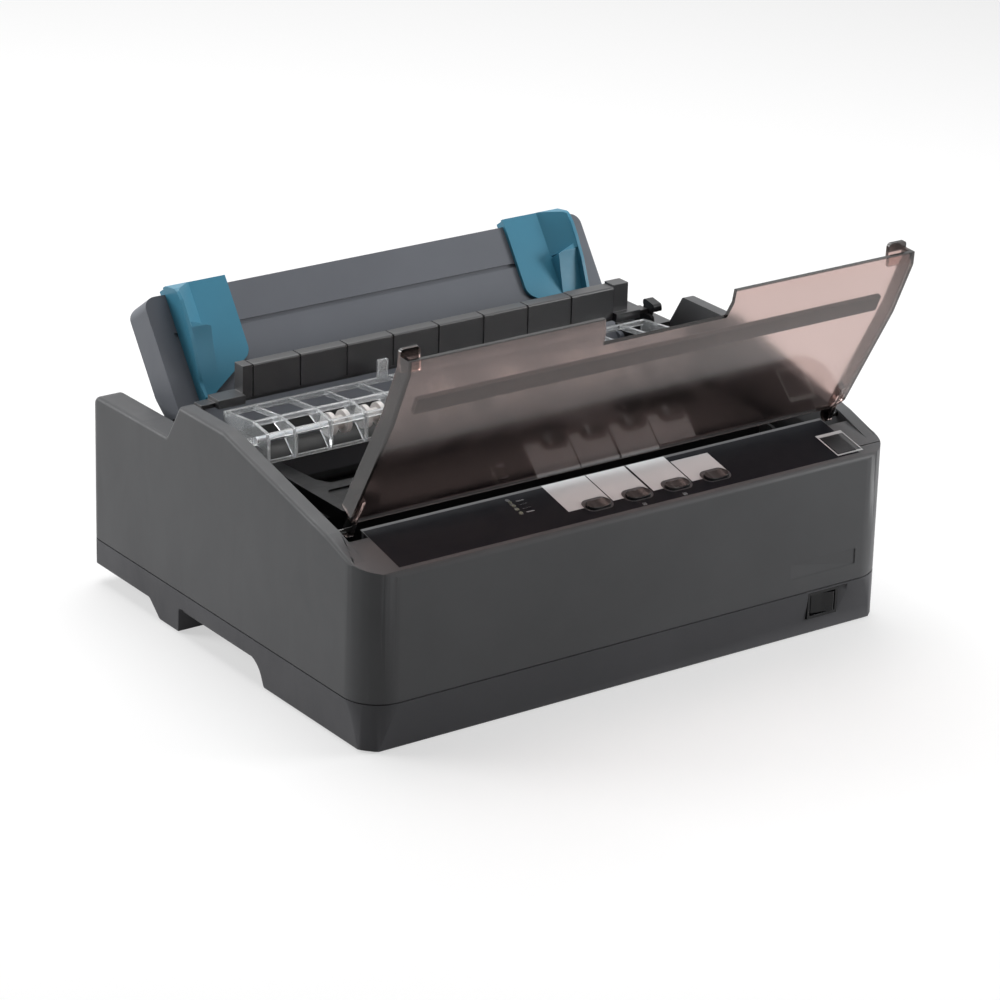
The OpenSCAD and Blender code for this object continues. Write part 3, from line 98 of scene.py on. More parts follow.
def make_grain():
    """Fine spark-eroded texture of a moulding: its height, and a mask of large faint patches."""
    tree, start, end = group("Moulded grain",
        [("Scale", FLOAT, 1400.0), ("Patches", FLOAT, 18.0)],
        [("Height", FLOAT), ("Patches", FLOAT)])
    place = add(tree, "ShaderNodeTexCoord")
    pits = add(tree, "ShaderNodeTexVoronoi", feature="SMOOTH_F1")
    rough = add(tree, "ShaderNodeTexNoise", inputs={"Detail": 3.0, "Roughness": 0.6})
    cloud = add(tree, "ShaderNodeTexNoise", inputs={"Detail": 4.0, "Roughness": 0.55})
    both = add(tree, "ShaderNodeMath", operation="MULTIPLY_ADD", inputs={1: 0.6})
    spread = add(tree, "ShaderNodeMapRange", inputs={"From Min": 0.35, "From Max": 0.65})
    for texture in (pits, rough):
        tree.links.new(place.outputs["Object"], texture.inputs["Vector"])
        tree.links.new(start.outputs["Scale"], texture.inputs["Scale"])
    tree.links.new(place.outputs["Object"], cloud.inputs["Vector"])
    tree.links.new(start.outputs["Patches"], cloud.inputs["Scale"])
    tree.links.new(pits.outputs["Distance"], both.inputs[0])
    tree.links.new(rough.outputs["Fac"], both.inputs[2])
    tree.links.new(cloud.outputs["Fac"], spread.inputs["Value"])
    tree.links.new(both.outputs[0], end.inputs["Height"])
    tree.links.new(spread.outputs["Result"], end.inputs["Patches"])
    return tree


def make_tone():
    """Mixes two tones by a mask, up to a reach."""
    tree, start, end = group("Tone",
        [("Dark", COLOR, None), ("Light", COLOR, None),
            ("Mask", FLOAT, 0.5), ("Reach", FLOAT, 1.0)],
        [("Color", COLOR)])
    reach = add(tree, "ShaderNodeMath", operation="MULTIPLY", use_clamp=True)
    mix = add(tree, "ShaderNodeMix", data_type="RGBA")
    tree.links.new(start.outputs["Mask"], reach.inputs[0])
    tree.links.new(start.outputs["Reach"], reach.inputs[1])
    tree.links.new(reach.outputs[0], mix.inputs["Factor"])
    tree.links.new(start.outputs["Dark"], mix.inputs["A"])
    tree.links.new(start.outputs["Light"], mix.inputs["B"])
    tree.links.new(mix.outputs["Result"], end.inputs["Color"])
    return tree


def make_handling():
    """Faint smears and dust left by handling: a roughness between two limits."""
    tree, start, end = group("Handling marks",
        [("Clean", FLOAT, 0.35), ("Handled", FLOAT, 0.45), ("Scale", FLOAT, 30.0)],
        [("Roughness", FLOAT)])
    place = add(tree, "ShaderNodeTexCoord")
    stretch = add(tree, "ShaderNodeMapping", inputs={"Scale": (1.0, 1.6, 0.7)})
    smear = add(tree, "ShaderNodeTexNoise", inputs={"Detail": 5.0, "Roughness": 0.65,
        "Distortion": 0.6})
    ramp = add(tree, "ShaderNodeMapRange", inputs={"From Min": 0.42, "From Max": 0.68})
    result = add(tree, "ShaderNodeMapRange")
    tree.links.new(place.outputs["Object"], stretch.inputs["Vector"])
    tree.links.new(stretch.outputs[0], smear.inputs["Vector"])
    tree.links.new(start.outputs["Scale"], smear.inputs["Scale"])
    tree.links.new(smear.outputs["Fac"], ramp.inputs["Value"])
    tree.links.new(ramp.outputs["Result"], result.inputs["Value"])
    tree.links.new(start.outputs["Clean"], result.inputs["To Min"])
    tree.links.new(start.outputs["Handled"], result.inputs["To Max"])
    tree.links.new(result.outputs["Result"], end.inputs["Roughness"])
    return tree


def make_brushing():
    """Fine lines of drawn or ground metal along one axis."""
    tree, start, end = group("Ground metal",
        [("Along", FLOAT, 1.0), ("Across", FLOAT, 60.0), ("Scale", FLOAT, 60.0)],
        [("Lines", FLOAT)])
    place = add(tree, "ShaderNodeTexCoord")
    scales = add(tree, "ShaderNodeCombineXYZ")
    stretch = add(tree, "ShaderNodeVectorMath", operation="MULTIPLY")
    lines = add(tree, "ShaderNodeTexNoise", inputs={"Detail": 6.0, "Roughness": 0.7})
    tree.links.new(start.outputs["Along"], scales.inputs["X"])
    tree.links.new(start.outputs["Across"], scales.inputs["Y"])
    tree.links.new(start.outputs["Across"], scales.inputs["Z"])
    tree.links.new(place.outputs["Object"], stretch.inputs[0])
    tree.links.new(scales.outputs[0], stretch.inputs[1])
    tree.links.new(stretch.outputs[0], lines.inputs["Vector"])
    tree.links.new(start.outputs["Scale"], lines.inputs["Scale"])
    tree.links.new(lines.outputs["Fac"], end.inputs["Lines"])
    return tree


GRAIN = make_grain()
TONE = make_tone()
HANDLING = make_handling()
BRUSHING = make_brushing()


def place_group(tree, nodes_group, **values):
    """One of the groups above in a material, with its values."""
    return add(tree, "ShaderNodeGroup", node_tree=nodes_group, inputs=values)


def largest(tree, values):
    """The largest of several outputs."""
    result = values[0]
    for value in values[1:]:
        step = add(tree, "ShaderNodeMath", operation="MAXIMUM")
        tree.links.new(result, step.inputs[0])
        tree.links.new(value, step.inputs[1])
        result = step.outputs[0]
    return result


def rgb(color, k=1.0):
    """A colour socket's value, made lighter or darker by a factor."""
    return (color[0] * k, color[1] * k, color[2] * k, 1.0)


def new_material(name):
    """A material with its node tree and its shader."""
    material = bpy.data.materials.new(name)
    material.use_nodes = True
    tree = material.node_tree
    shader = tree.nodes["Principled BSDF"]
    return material, tree, shader


def plastic(name, color, clean=0.34, handled=0.46, depth=0.02, scale=1400.0, lift=1.15,
    specular=0.3):
    """Moulded plastic: grain in its height, a faint cloud in its colour, smears in its gloss."""
    material, tree, shader = new_material(name)
    grain = place_group(tree, GRAIN, Scale=scale, Patches=14.0)
    tone = place_group(tree, TONE, Dark=rgb(color), Light=rgb(color, lift), Reach=0.8)
    marks = place_group(tree, HANDLING, Clean=clean, Handled=handled, Scale=26.0)
    bump = add(tree, "ShaderNodeBump", inputs={"Strength": 0.5, "Distance": depth * MM})
    tree.links.new(grain.outputs["Patches"], tone.inputs["Mask"])
    tree.links.new(tone.outputs["Color"], shader.inputs["Base Color"])
    tree.links.new(marks.outputs["Roughness"], shader.inputs["Roughness"])
    tree.links.new(grain.outputs["Height"], bump.inputs["Height"])
    tree.links.new(bump.outputs["Normal"], shader.inputs["Normal"])
    shader.inputs["Specular IOR Level"].default_value = specular
    return material


# Tint of the smoke cover in its middle, and painted shade along its rims: the sides, the top and
# the foot with the hinge arms are painted dark, standing in for the longer way light takes through
# the sheet seen edge-on and dulling the arms' highlights.
# Each band is where a rim turns from clear to painted dark, in metres: its sides by their distance
# from the middle, its top and its foot by their height.
SMOKE = (0.53, 0.39, 0.36)
SMOKE_RIM_PAINTED_SHADE = (0.045, 0.036, 0.034)
RIM_SHADE_SIDES = (0.1606, 0.1612)
RIM_SHADE_TOP = (0.2192, 0.2196)
RIM_SHADE_FOOT = (0.1185, 0.1155)


def smoke_plastic():
    """Smoke-tinted clear plastic with painted shade along the rims and the foot, standing in for
    the longer way light takes through the sheet seen edge-on.
    """
    material = clear("smoke cover", SMOKE, clean=0.1, handled=0.17, weight=1.0, specular=0.2)
    tree = material.node_tree
    shader = tree.nodes["Principled BSDF"]
    middle_color = shader.inputs["Base Color"].links[0].from_socket
    place = add(tree, "ShaderNodeTexCoord")
    parts = add(tree, "ShaderNodeSeparateXYZ")
    side = add(tree, "ShaderNodeMath", operation="ABSOLUTE")
    blend = add(tree, "ShaderNodeMix", data_type="RGBA", inputs={"B": rgb(SMOKE_RIM_PAINTED_SHADE)})
    tree.links.new(place.outputs["Object"], parts.inputs[0])
    tree.links.new(parts.outputs["X"], side.inputs[0])
    height = parts.outputs["Z"]
    rim_shades = []
    for band, value in ((RIM_SHADE_SIDES, side.outputs[0]), (RIM_SHADE_TOP, height), (RIM_SHADE_FOOT, height)):
        rim = add(tree, "ShaderNodeMapRange", inputs={"From Min": band[0], "From Max": band[1]})
        tree.links.new(value, rim.inputs["Value"])
        rim_shades.append(rim.outputs["Result"])
    tree.links.new(largest(tree, rim_shades), blend.inputs["Factor"])
    tree.links.new(middle_color, blend.inputs["A"])
    tree.links.new(blend.outputs["Result"], shader.inputs["Base Color"])
    return material


def metal(name, color, clean=0.28, handled=0.42, along=1.0, across=40.0, scale=50.0):
    """Drawn or ground metal with fine lines along X."""
    material, tree, shader = new_material(name)
    lines = place_group(tree, BRUSHING, Along=along, Across=across, Scale=scale)
    tone = place_group(tree, TONE, Dark=rgb(color, 0.8), Light=rgb(color, 1.1), Reach=1.0)
    gloss = add(tree, "ShaderNodeMapRange", inputs={"To Min": clean, "To Max": handled})
    bump = add(tree, "ShaderNodeBump", inputs={"Strength": 0.3, "Distance": 0.01 * MM})
    tree.links.new(lines.outputs["Lines"], tone.inputs["Mask"])
    tree.links.new(lines.outputs["Lines"], gloss.inputs["Value"])
    tree.links.new(lines.outputs["Lines"], bump.inputs["Height"])
    tree.links.new(tone.outputs["Color"], shader.inputs["Base Color"])
    tree.links.new(gloss.outputs["Result"], shader.inputs["Roughness"])
    tree.links.new(bump.outputs["Normal"], shader.inputs["Normal"])
    shader.inputs["Metallic"].default_value = 1.0
    return material


def clear(name, color, clean=0.05, handled=0.14, weight=0.92, specular=0.5):
    """Clear or tinted plastic with faint handling marks in its gloss."""
    material, tree, shader = new_material(name)
    grain = place_group(tree, GRAIN, Scale=300.0, Patches=20.0)
    tone = place_group(tree, TONE, Dark=rgb(color), Light=rgb(color, 1.04), Reach=0.6)
    marks = place_group(tree, HANDLING, Clean=clean, Handled=handled, Scale=22.0)
    tree.links.new(grain.outputs["Patches"], tone.inputs["Mask"])
    tree.links.new(tone.outputs["Color"], shader.inputs["Base Color"])
    tree.links.new(marks.outputs["Roughness"], shader.inputs["Roughness"])
    shader.inputs["Transmission Weight"].default_value = weight
    shader.inputs["IOR"].default_value = 1.49
    shader.inputs["Specular IOR Level"].default_value = specular
    return material


def circuit_board():
    """Green solder mask with lighter copper runs under it."""
    material, tree, shader = new_material("circuit board")
    place = add(tree, "ShaderNodeTexCoord")
    runs = add(tree, "ShaderNodeTexBrick", offset=0.37, squash=1.3, inputs={
        "Scale": 130.0, "Mortar Size": 0.03, "Color1": rgb((0.012, 0.075, 0.03)),
        "Color2": rgb((0.016, 0.095, 0.04)), "Mortar": rgb((0.03, 0.17, 0.08))})
    marks = place_group(tree, HANDLING, Clean=0.3, Handled=0.5, Scale=60.0)
    bump = add(tree, "ShaderNodeBump", inputs={"Strength": 0.4, "Distance": 0.05 * MM})
    tree.links.new(place.outputs["Object"], runs.inputs["Vector"])
    tree.links.new(runs.outputs["Color"], shader.inputs["Base Color"])
    tree.links.new(runs.outputs["Fac"], bump.inputs["Height"])
    tree.links.new(bump.outputs["Normal"], shader.inputs["Normal"])
    tree.links.new(marks.outputs["Roughness"], shader.inputs["Roughness"])
    return material


def inked_ribbon():
    """Tightly woven nylon, soaked with ink."""
    material, tree, shader = new_material("inked ribbon")
    place = add(tree, "ShaderNodeTexCoord")
    threads = []
    for direction in ("X", "Z"):
        wave = add(tree, "ShaderNodeTexWave", bands_direction=direction, inputs={"Scale": 900.0})
        tree.links.new(place.outputs["Object"], wave.inputs["Vector"])
        threads.append(wave.outputs["Fac"])
    weave = largest(tree, threads)
    tone = place_group(tree, TONE, Dark=rgb((0.004, 0.004, 0.006)), Light=rgb((0.016, 0.016, 0.02)),
        Reach=1.0)
    bump = add(tree, "ShaderNodeBump", inputs={"Strength": 0.6, "Distance": 0.05 * MM})
    tree.links.new(weave, tone.inputs["Mask"])
    tree.links.new(weave, bump.inputs["Height"])
    tree.links.new(tone.outputs["Color"], shader.inputs["Base Color"])
    tree.links.new(bump.outputs["Normal"], shader.inputs["Normal"])
    shader.inputs["Roughness"].default_value = 0.7
    return material


CASE_GREY = (0.074, 0.075, 0.078)
# Near-black of the inner frames and the ribbon cartridge: partly their own black plastic, partly
# painted shade of the case's dark inside.
INSIDE_BLACK_AND_SHADE = (0.0045, 0.0045, 0.005)
FINISHES = {
    "lower_case_plastic": plastic("lower case plastic", (0.062, 0.062, 0.067), clean=0.42,
        handled=0.54, depth=0.03, specular=0.2),
    "upper_case_plastic": plastic("upper case plastic", CASE_GREY, clean=0.4, handled=0.5,
        specular=0.2),
    "foot_rubber": plastic("foot rubber", (0.012, 0.012, 0.012), clean=0.75, handled=0.9,
        scale=600.0),
    "smoke_cover": smoke_plastic(),
    "cushion_foam": plastic("cushion foam", (0.02, 0.015, 0.014), clean=0.85, handled=0.95,
        depth=0.1, scale=500.0),
    "button_plastic": plastic("button plastic", (0.008, 0.0082, 0.009), clean=0.22, handled=0.34),
    "light_lens": clear("light lens", (0.8, 0.86, 0.7), weight=0.8),
    "circuit_board": circuit_board(),
    "switch_plastic": plastic("switch plastic", (0.005, 0.005, 0.006), clean=0.2, handled=0.32),
    "guide_plastic": plastic("paper guide plastic", (0.108, 0.116, 0.133), clean=0.42,
        handled=0.55, depth=0.03),
    "edge_guide_plastic": plastic("edge guide plastic", (0.046, 0.196, 0.29), clean=0.34,
        handled=0.46),
    "separator_plastic": plastic("separator plastic", (0.016, 0.0162, 0.0178), clean=0.34,
        handled=0.37, specular=0.7),
    "clear_plastic": clear("clear plastic", (0.93, 0.95, 0.96), weight=0.8),
    "bright_steel": metal("bright steel", (0.62, 0.63, 0.65)),
    "roller_rubber": plastic("roller rubber", (0.68, 0.65, 0.63), clean=0.5, handled=0.7),
    "platen_rubber": plastic("platen rubber", (0.01, 0.01, 0.01), clean=0.5, handled=0.65,
        scale=700.0),
    "knob_plastic": plastic("knob plastic", (0.012, 0.012, 0.013), clean=0.32, handled=0.45),
    "gear_plastic": plastic("gear plastic", (0.62, 0.6, 0.52), clean=0.35, handled=0.5, lift=1.1),
    "brass": metal("brass", (0.66, 0.47, 0.2), clean=0.24, handled=0.38),
    "motor_steel": metal("motor steel", (0.34, 0.35, 0.36), clean=0.34, handled=0.5, along=8.0,
        across=8.0),
    "frame_plastic": plastic("frame plastic", INSIDE_BLACK_AND_SHADE, clean=0.4, handled=0.52, specular=0.2),
    "plate_steel": metal("plate steel", (0.5, 0.51, 0.53), clean=0.34, handled=0.5, along=10.0,
        across=10.0),
    "head_metal": metal("head metal", (0.1, 0.105, 0.11), clean=0.35, handled=0.5, along=12.0,
        across=12.0),
    "belt_rubber": plastic("belt rubber", (0.01, 0.01, 0.01), clean=0.6, handled=0.75, scale=800.0),
    "cartridge_plastic": plastic("cartridge plastic", INSIDE_BLACK_AND_SHADE, clean=0.34, handled=0.48,
        specular=0.15),
    "ribbon_fabric": inked_ribbon(),
    "lever_plastic": plastic("lever plastic", (0.016, 0.0165, 0.018), clean=0.3, handled=0.44),
    "socket_plastic": plastic("socket plastic", (0.008, 0.008, 0.008), clean=0.25, handled=0.4),
    "port_metal": metal("port metal", (0.5, 0.51, 0.52), clean=0.3, handled=0.45),
}


def finish_with(piece, slot):
    """Gives a piece its slot's finish as its only material."""
    piece.data.materials.clear()
    piece.data.materials.append(FINISHES[slot])


# ---------------------------------------------------------------- modelling helpers

SHARP = math.radians(30)  # an edge that turns by more than this counts as sharp
SMOOTH = math.radians(35)  # faces that meet at less than this are shaded as one


def deselect():
    if bpy.context.object and bpy.context.object.mode != "OBJECT":
        bpy.ops.object.mode_set(mode="OBJECT")
    bpy.ops.object.select_all(action="DESELECT")


def pick(piece):
    """Makes a piece the only selected and active object."""
    deselect()
    piece.select_set(True)
    bpy.context.view_layer.objects.active = piece


def apply_modifier(piece, kind, **settings):
    modifier = piece.modifiers.new(kind.title(), kind)
    for key, value in settings.items():
        setattr(modifier, key, value)
    pick(piece)
    bpy.ops.object.modifier_apply(modifier=modifier.name)


def smooth(piece):
    pick(piece)
    bpy.ops.object.shade_smooth_by_angle(angle=SMOOTH)


def settle(piece):
    """Moves a piece's place into its mesh, so that its object sits at the origin."""
    pick(piece)
    bpy.ops.object.transform_apply(location=True, rotation=True, scale=True)
    return piece


def block(name, low, high):
    """A box between two corners in millimetres."""
    deselect()
    centre = [(a + b) / 2 * MM for a, b in zip(low, high)]
    bpy.ops.mesh.primitive_cube_add(size=1.0, location=centre)
    piece = bpy.context.object
    piece.name = name
    piece.scale = [(b - a) * MM for a, b in zip(low, high)]
    return settle(piece)


def cylinder(name, centre, radius, depth):
    """A closed cylinder round a centre, in millimetres, with its axis along Z."""
    deselect()
    bpy.ops.mesh.primitive_cylinder_add(radius=radius * MM, depth=depth * MM, vertices=32,
        location=[c * MM for c in centre])
    piece = bpy.context.object
    piece.name = name
    return settle(piece)


def cut(piece, tool):
    """Takes the tool's volume out of a piece and removes the tool."""
    apply_modifier(piece, "BOOLEAN", object=tool, operation="DIFFERENCE", solver="EXACT")
    bpy.data.objects.remove(tool, do_unlink=True)
    return piece


def flatten_faces(piece):
    """Keeps large faces flat beside their rounded edges."""
    apply_modifier(piece, "WEIGHTED_NORMAL", keep_sharp=True, weight=60, mode="FACE_AREA")


def ease_edges(piece, width, segments=2, weights=False):
    """Rounds sharp edges over a width in millimetres; weighted edges keep their full width."""
    apply_modifier(piece, "BEVEL", width=width * MM, segments=segments, harden_normals=False,
        limit_method="WEIGHT" if weights else "ANGLE", angle_limit=SHARP,
        use_clamp_overlap=not weights)


def weigh_edges(piece, rule):
    """Sets each sharp edge's bevel weight from a rule on its two ends, in millimetres."""
    pick(piece)
    mesh = bmesh.new()
    mesh.from_mesh(piece.data)
    layers = mesh.edges.layers.float
    layer = layers.get("bevel_weight_edge") or layers.new("bevel_weight_edge")
    for edge in mesh.edges:
        sharp = len(edge.link_faces) == 2 and edge.calc_face_angle(0) > SHARP
        edge[layer] = rule(*(v.co / MM for v in edge.verts)) if sharp else 0.0
    mesh.to_mesh(piece.data)
    mesh.free()


def recopy(node, keep=None):
    """A merged copy of a CAD node's mesh; its flat faces are made whole, but for those to keep."""
    deselect()
    piece = NODES[node].copy()
    piece.data = NODES[node].data.copy()
    piece.parent = None
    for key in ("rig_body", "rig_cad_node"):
        del piece[key]
    bpy.context.scene.collection.objects.link(piece)
    piece.name = node + "_piece"
    pick(piece)
    bpy.ops.object.mode_set(mode="EDIT")
    bpy.ops.mesh.select_all(action="SELECT")
    bpy.ops.mesh.remove_doubles(threshold=0.002 * MM)
    if keep:
        mesh = bmesh.from_edit_mesh(piece.data)
        for face in mesh.faces:
            if keep(face.calc_center_median() / MM, face.normal):
                face.select_set(False)
        bmesh.update_edit_mesh(piece.data)
    bpy.ops.mesh.dissolve_limited(angle_limit=math.radians(0.5))
    bpy.ops.object.mode_set(mode="OBJECT")
    return piece


def refine(node, width, segments=2, rule=None, keep=None, mend=None):
    """Replaces a node by its own shape with rounded edges, all of them or as a rule weighs them."""
    piece = recopy(node, keep)
    if rule:
        weigh_edges(piece, rule)
    ease_edges(piece, width, segments, weights=rule is not None)
    if mend:
        mend(piece)
    smooth(piece)
    flatten_faces(piece)
    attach(piece, BODY_OF[node])
    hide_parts(node)
    finish_with(piece, SLOT_OF[node])


# ---------------------------------------------------------------- case, in millimetres

low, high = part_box("upper_case")
FRONT, SEAM = low.y / MM, low.z / MM
CASE_RIGHT = high.x / MM
CORNER = 21.0  # radius of the case's upright front corners
UPPER_ROUND, LOWER_ROUND, SEGMENT_ROUND = 2.4, 0.5, 1.3
NEAR = 0.4  # a point this near to the case's outline lies on it
ALONG = 0.9  # an edge runs along an axis when more than this share of its length does
FRONT_BAND = 6.0  # the front wall's face and recesses lie within this of the front
SWITCH_BAND, SWITCH_SIDE = 5.0, 110.0  # the switch's opening: behind the front, from the middle
RIM_FOOT = 95.0  # the walls' upper rims lie above this height
SIDE_END = 130.0  # the side walls' rims end here
REAR_START = 129.0  # the rear corners lie behind this
REAR_WIDTH, REAR_OUTER = 9.0, 8.6  # a rear corner's width, and the part of it that is rounded
FADE_START, FADE_POWER = 7.0, 1.5  # the round fades in from this distance behind the front
HUMP_Y, HUMP_Z = 42.7, 131.6  # place of the humps' rear corners
HUMP_REACH, HUMP_JOIN = 0.35, 0.3  # points this near to them, joined over this distance
SEGMENT_TOP, SEGMENT_LENGTH = 1.2, 12.0  # height of a segment's top band, least length of its edge
SEGMENT_EASE = 0.15  # weight of the separator's other edges


def on_front(centre, normal):
    """The front wall's flat face, which holds small openings and stays in its own triangles."""
    return normal.y < -0.9 and centre.y < FRONT + FRONT_BAND


def outer_front(a, b):
    """True for an edge on the case's outline round its front."""
    inner = CASE_RIGHT - CORNER
    reach = []
    for p in (a, b):
        side, front = max(abs(p.x) - inner, 0.0), max(FRONT + CORNER - p.y, 0.0)
        reach.append(math.hypot(side, front) if side else front)
    return min(reach) > CORNER - NEAR


def upper_rims(a, b):
    """Full weight on the side walls' outer rims and rear corners, fading out round the front."""
    upright = abs(a.z - b.z) > ALONG * (a - b).length
    if min(a.z, b.z) < RIM_FOOT or upright:
        return 0.0
    inner_x, outer_x = sorted((abs(a.x), abs(b.x)))
    front_y, rear_y = sorted((a.y, b.y))
    if inner_x > CASE_RIGHT - NEAR and front_y > FRONT + CORNER and rear_y < SIDE_END:
        return 1.0
    if front_y > REAR_START and outer_x > CASE_RIGHT - REAR_WIDTH:
        return 1.0 if inner_x > CASE_RIGHT - REAR_OUTER else 0.0
    middle = (a.y + b.y) / 2
    if middle > FRONT + CORNER or not outer_front(a, b):
        return 0.0
    return max(0.0, (middle - FRONT - FADE_START) / (CORNER - FADE_START)) ** FADE_POWER


def lower_edges(a, b):
    """The lower case's edges, apart from its upper rim and the front wall round the switch."""
    away = a.y > FRONT + SWITCH_BAND or abs(a.x) < SWITCH_SIDE
    return 1.0 if away and max(a.z, b.z) < SEAM - 1 else 0.0


def separator_tops(a, b):
    """Full weight on the long upper edges of the separator's segments, and little elsewhere."""
    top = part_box("paper_separator")[1].z / MM - SEGMENT_TOP
    length = abs(a.x - b.x)
    long_edge = length > SEGMENT_LENGTH and length > ALONG * (a - b).length
    return 1.0 if long_edge and min(a.z, b.z) > top else SEGMENT_EASE


def close_hump_corners(piece):
    """Joins the crowded points that the round leaves at the humps' rear corners."""
    pick(piece)
    bpy.ops.object.mode_set(mode="EDIT")
    mesh = bmesh.from_edit_mesh(piece.data)
    for vertex in mesh.verts:
        place = vertex.co / MM
        on_side = abs(place.x) > CASE_RIGHT - 0.05
        vertex.select_set(on_side and abs(place.y - HUMP_Y) < HUMP_REACH and place.z > HUMP_Z)
    mesh.select_flush_mode()
    bpy.ops.mesh.remove_doubles(threshold=HUMP_JOIN * MM)
    bpy.ops.object.mode_set(mode="OBJECT")


refine("upper_case", UPPER_ROUND, segments=4, rule=upper_rims, keep=on_front,
    mend=close_hump_corners)
refine("lower_case", LOWER_ROUND, rule=lower_edges, keep=on_front)
refine("paper_separator", SEGMENT_ROUND, segments=4, rule=separator_tops)

# Width of the round on each other node whose edges show
EASED = {
    "paper_guide": 0.5, "edge_guide_left": 0.5, "edge_guide_right": 0.5,
    "printer_cover": 0.3, "ribbon_cartridge": 0.6, "power_rocker": 0.3, "print_head": 0.4,
    "carriage": 0.5, "platen_knob": 0.3, "release_lever": 0.4, "thickness_lever": 0.4,
    "side_frame_left": 0.3, "side_frame_right": 0.3, "tractor_left": 0.3, "tractor_right": 0.3,
    "tractor_cover_left": 0.2, "tractor_cover_right": 0.2, "tear_off_button": 0.3,
    "font_button": 0.3, "feed_button": 0.3, "pause_button": 0.3, "ribbon_knob": 0.3,
    "switch_body": 0.2, "tension_unit": 0.2, "lock_lever_left": 0.2, "lock_lever_right": 0.2,
    "ac_inlet": 0.3, "interface_ports": 0.2, "paper_chute": 0.3, "transformer": 0.6,
    "feed_motor": 0.4, "carriage_motor": 0.4, "cover_cushion": 0.4, "rubber_feet": 0.4}
for node, width in EASED.items():
    refine(node, width)


# ---------------------------------------------------------------- finishes of the CAD nodes

for node, piece in NODES.items():
    finish_with(piece, SLOT_OF[node])
    smooth(piece)


# ---------------------------------------------------------------- control deck, in millimetres

DECK_TILT = math.radians(13.4)
DECK_Z = 99.3  # height of the deck at the front wall
FILM_T, MARK_T, PLATE_T = 0.1, 0.1, 0.2  # thickness of the film, the small marks and the plates
FILM = (-151.5, 151.5, -133.4, -99.2)  # left, right, front and rear
FILM_GAP = 0.5  # room in the film round a button
FILM_CORNER = 2.0
THROUGH = 6.0  # depth of a cutter that passes through the film
BUTTONS = ("tear_off_button", "font_button", "feed_button", "pause_button")
LABEL_FRONT = -123.5
LABELS = ((-38.0, -9.7, -98.0), (-8.9, 16.3, -98.0), (17.8, 42.9, -98.0), (43.7, 68.7, -103.5))
LABEL_CUT = 4.0  # depth of a cutter that passes through a label
BUTTON_ROOM, BUTTON_HALF = 5.2, 4.0  # room in a label: its end's radius, and how far off that is
BADGE, BADGE_LINE, BADGE_CORNER = (137.5, 155.5, -132.0, -111.5), 0.8, 1.5
BADGE_FACE, FACE_CORNER = (139.2, 153.8, -130.2, -113.3), 0.8
MARKS_X, MARK_HALF, MARK_CORNER = (5.8, 32.7), 1.3, 0.9
MARK_FRONT, MARK_REAR = -132.4, -130.2
LIGHTS = 4
LIGHT_EDGE, LIGHT_ROOM = 1.0, 1.3  # a light's middle from the end of their row; a hole's radius
DASH_LEFT, DASH_RIGHT, DASH_HALF, DASH_CORNER = -59.5, -54.5, 0.45, 0.2
DASH_REAR, DASH_STEP = -105.3, 3.33


def deck_z(y):
    return DECK_Z + math.tan(DECK_TILT) * (y - FRONT)


def tilt_to_deck(piece, y):
    """Tilts a flat piece, modelled at the height of the deck at y, into the deck's plane."""
    pick(piece)
    pivot = Matrix.Translation((0, y * MM, deck_z(y) * MM))
    piece.data.transform(pivot @ Matrix.Rotation(DECK_TILT, 4, "X") @ pivot.inverted())


def box_middle(lo, hi):
    """The middle of a box in X and Y."""
    return (lo.x + hi.x) / 2 / MM, (lo.y + hi.y) / 2 / MM


def cut_slot(piece, centre, half, radius, depth):
    """Cuts a slot with round ends through a flat piece, along X."""
    x, y, z = centre
    for side in (-1, 1):
        cut(piece, cylinder("cutter", (x + side * half, y, z), radius, depth))
    deep = depth / 2
    cut(piece, block("cutter", (x - half, y - radius, z - deep), (x + half, y + radius, z + deep)))


def control_label(number, button, x0, x1, rear):
    """A thin bare label with room left round the button at its lower right corner."""
    mid = (LABEL_FRONT + rear) / 2
    z = deck_z(mid)
    plate = block("control_label_%d" % number, (x0, LABEL_FRONT, z), (x1, rear, z + PLATE_T))
    cut_slot(plate, (*box_middle(*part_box(button)), z), BUTTON_HALF, BUTTON_ROOM, LABEL_CUT)
    ease_edges(plate, 0.05, segments=1)
    tilt_to_deck(plate, mid)
    smooth(plate)
    return plate


def deck_plate(name, x0, x1, y0, y1, corner, thick=PLATE_T):
    """A thin plate with rounded corners that lies on the deck."""
    mid = (y0 + y1) / 2
    z = deck_z(mid)
    piece = block(name, (x0, y0, z), (x1, y1, z + thick))
    pick(piece)
    bpy.ops.object.mode_set(mode="EDIT")
    mesh = bmesh.from_edit_mesh(piece.data)
    for edge in mesh.edges:
        edge.select_set(abs(edge.verts[0].co.z - edge.verts[1].co.z) > 0.05 * MM)
    bmesh.update_edit_mesh(piece.data)
    bpy.ops.mesh.bevel(offset=corner * MM, segments=4, affect="EDGES")
    bpy.ops.object.mode_set(mode="OBJECT")
    tilt_to_deck(piece, mid)
    return piece


def frame_plate(name, x0, x1, y0, y1, line, corner):
    """A thin rectangular outline on the deck."""
    piece = deck_plate(name, x0, x1, y0, y1, corner)
    z = deck_z((y0 + y1) / 2)
    return cut(piece, block("cutter", (x0 + line, y0 + line, z - 2), (x1 - line, y1 - line, z + 2)))


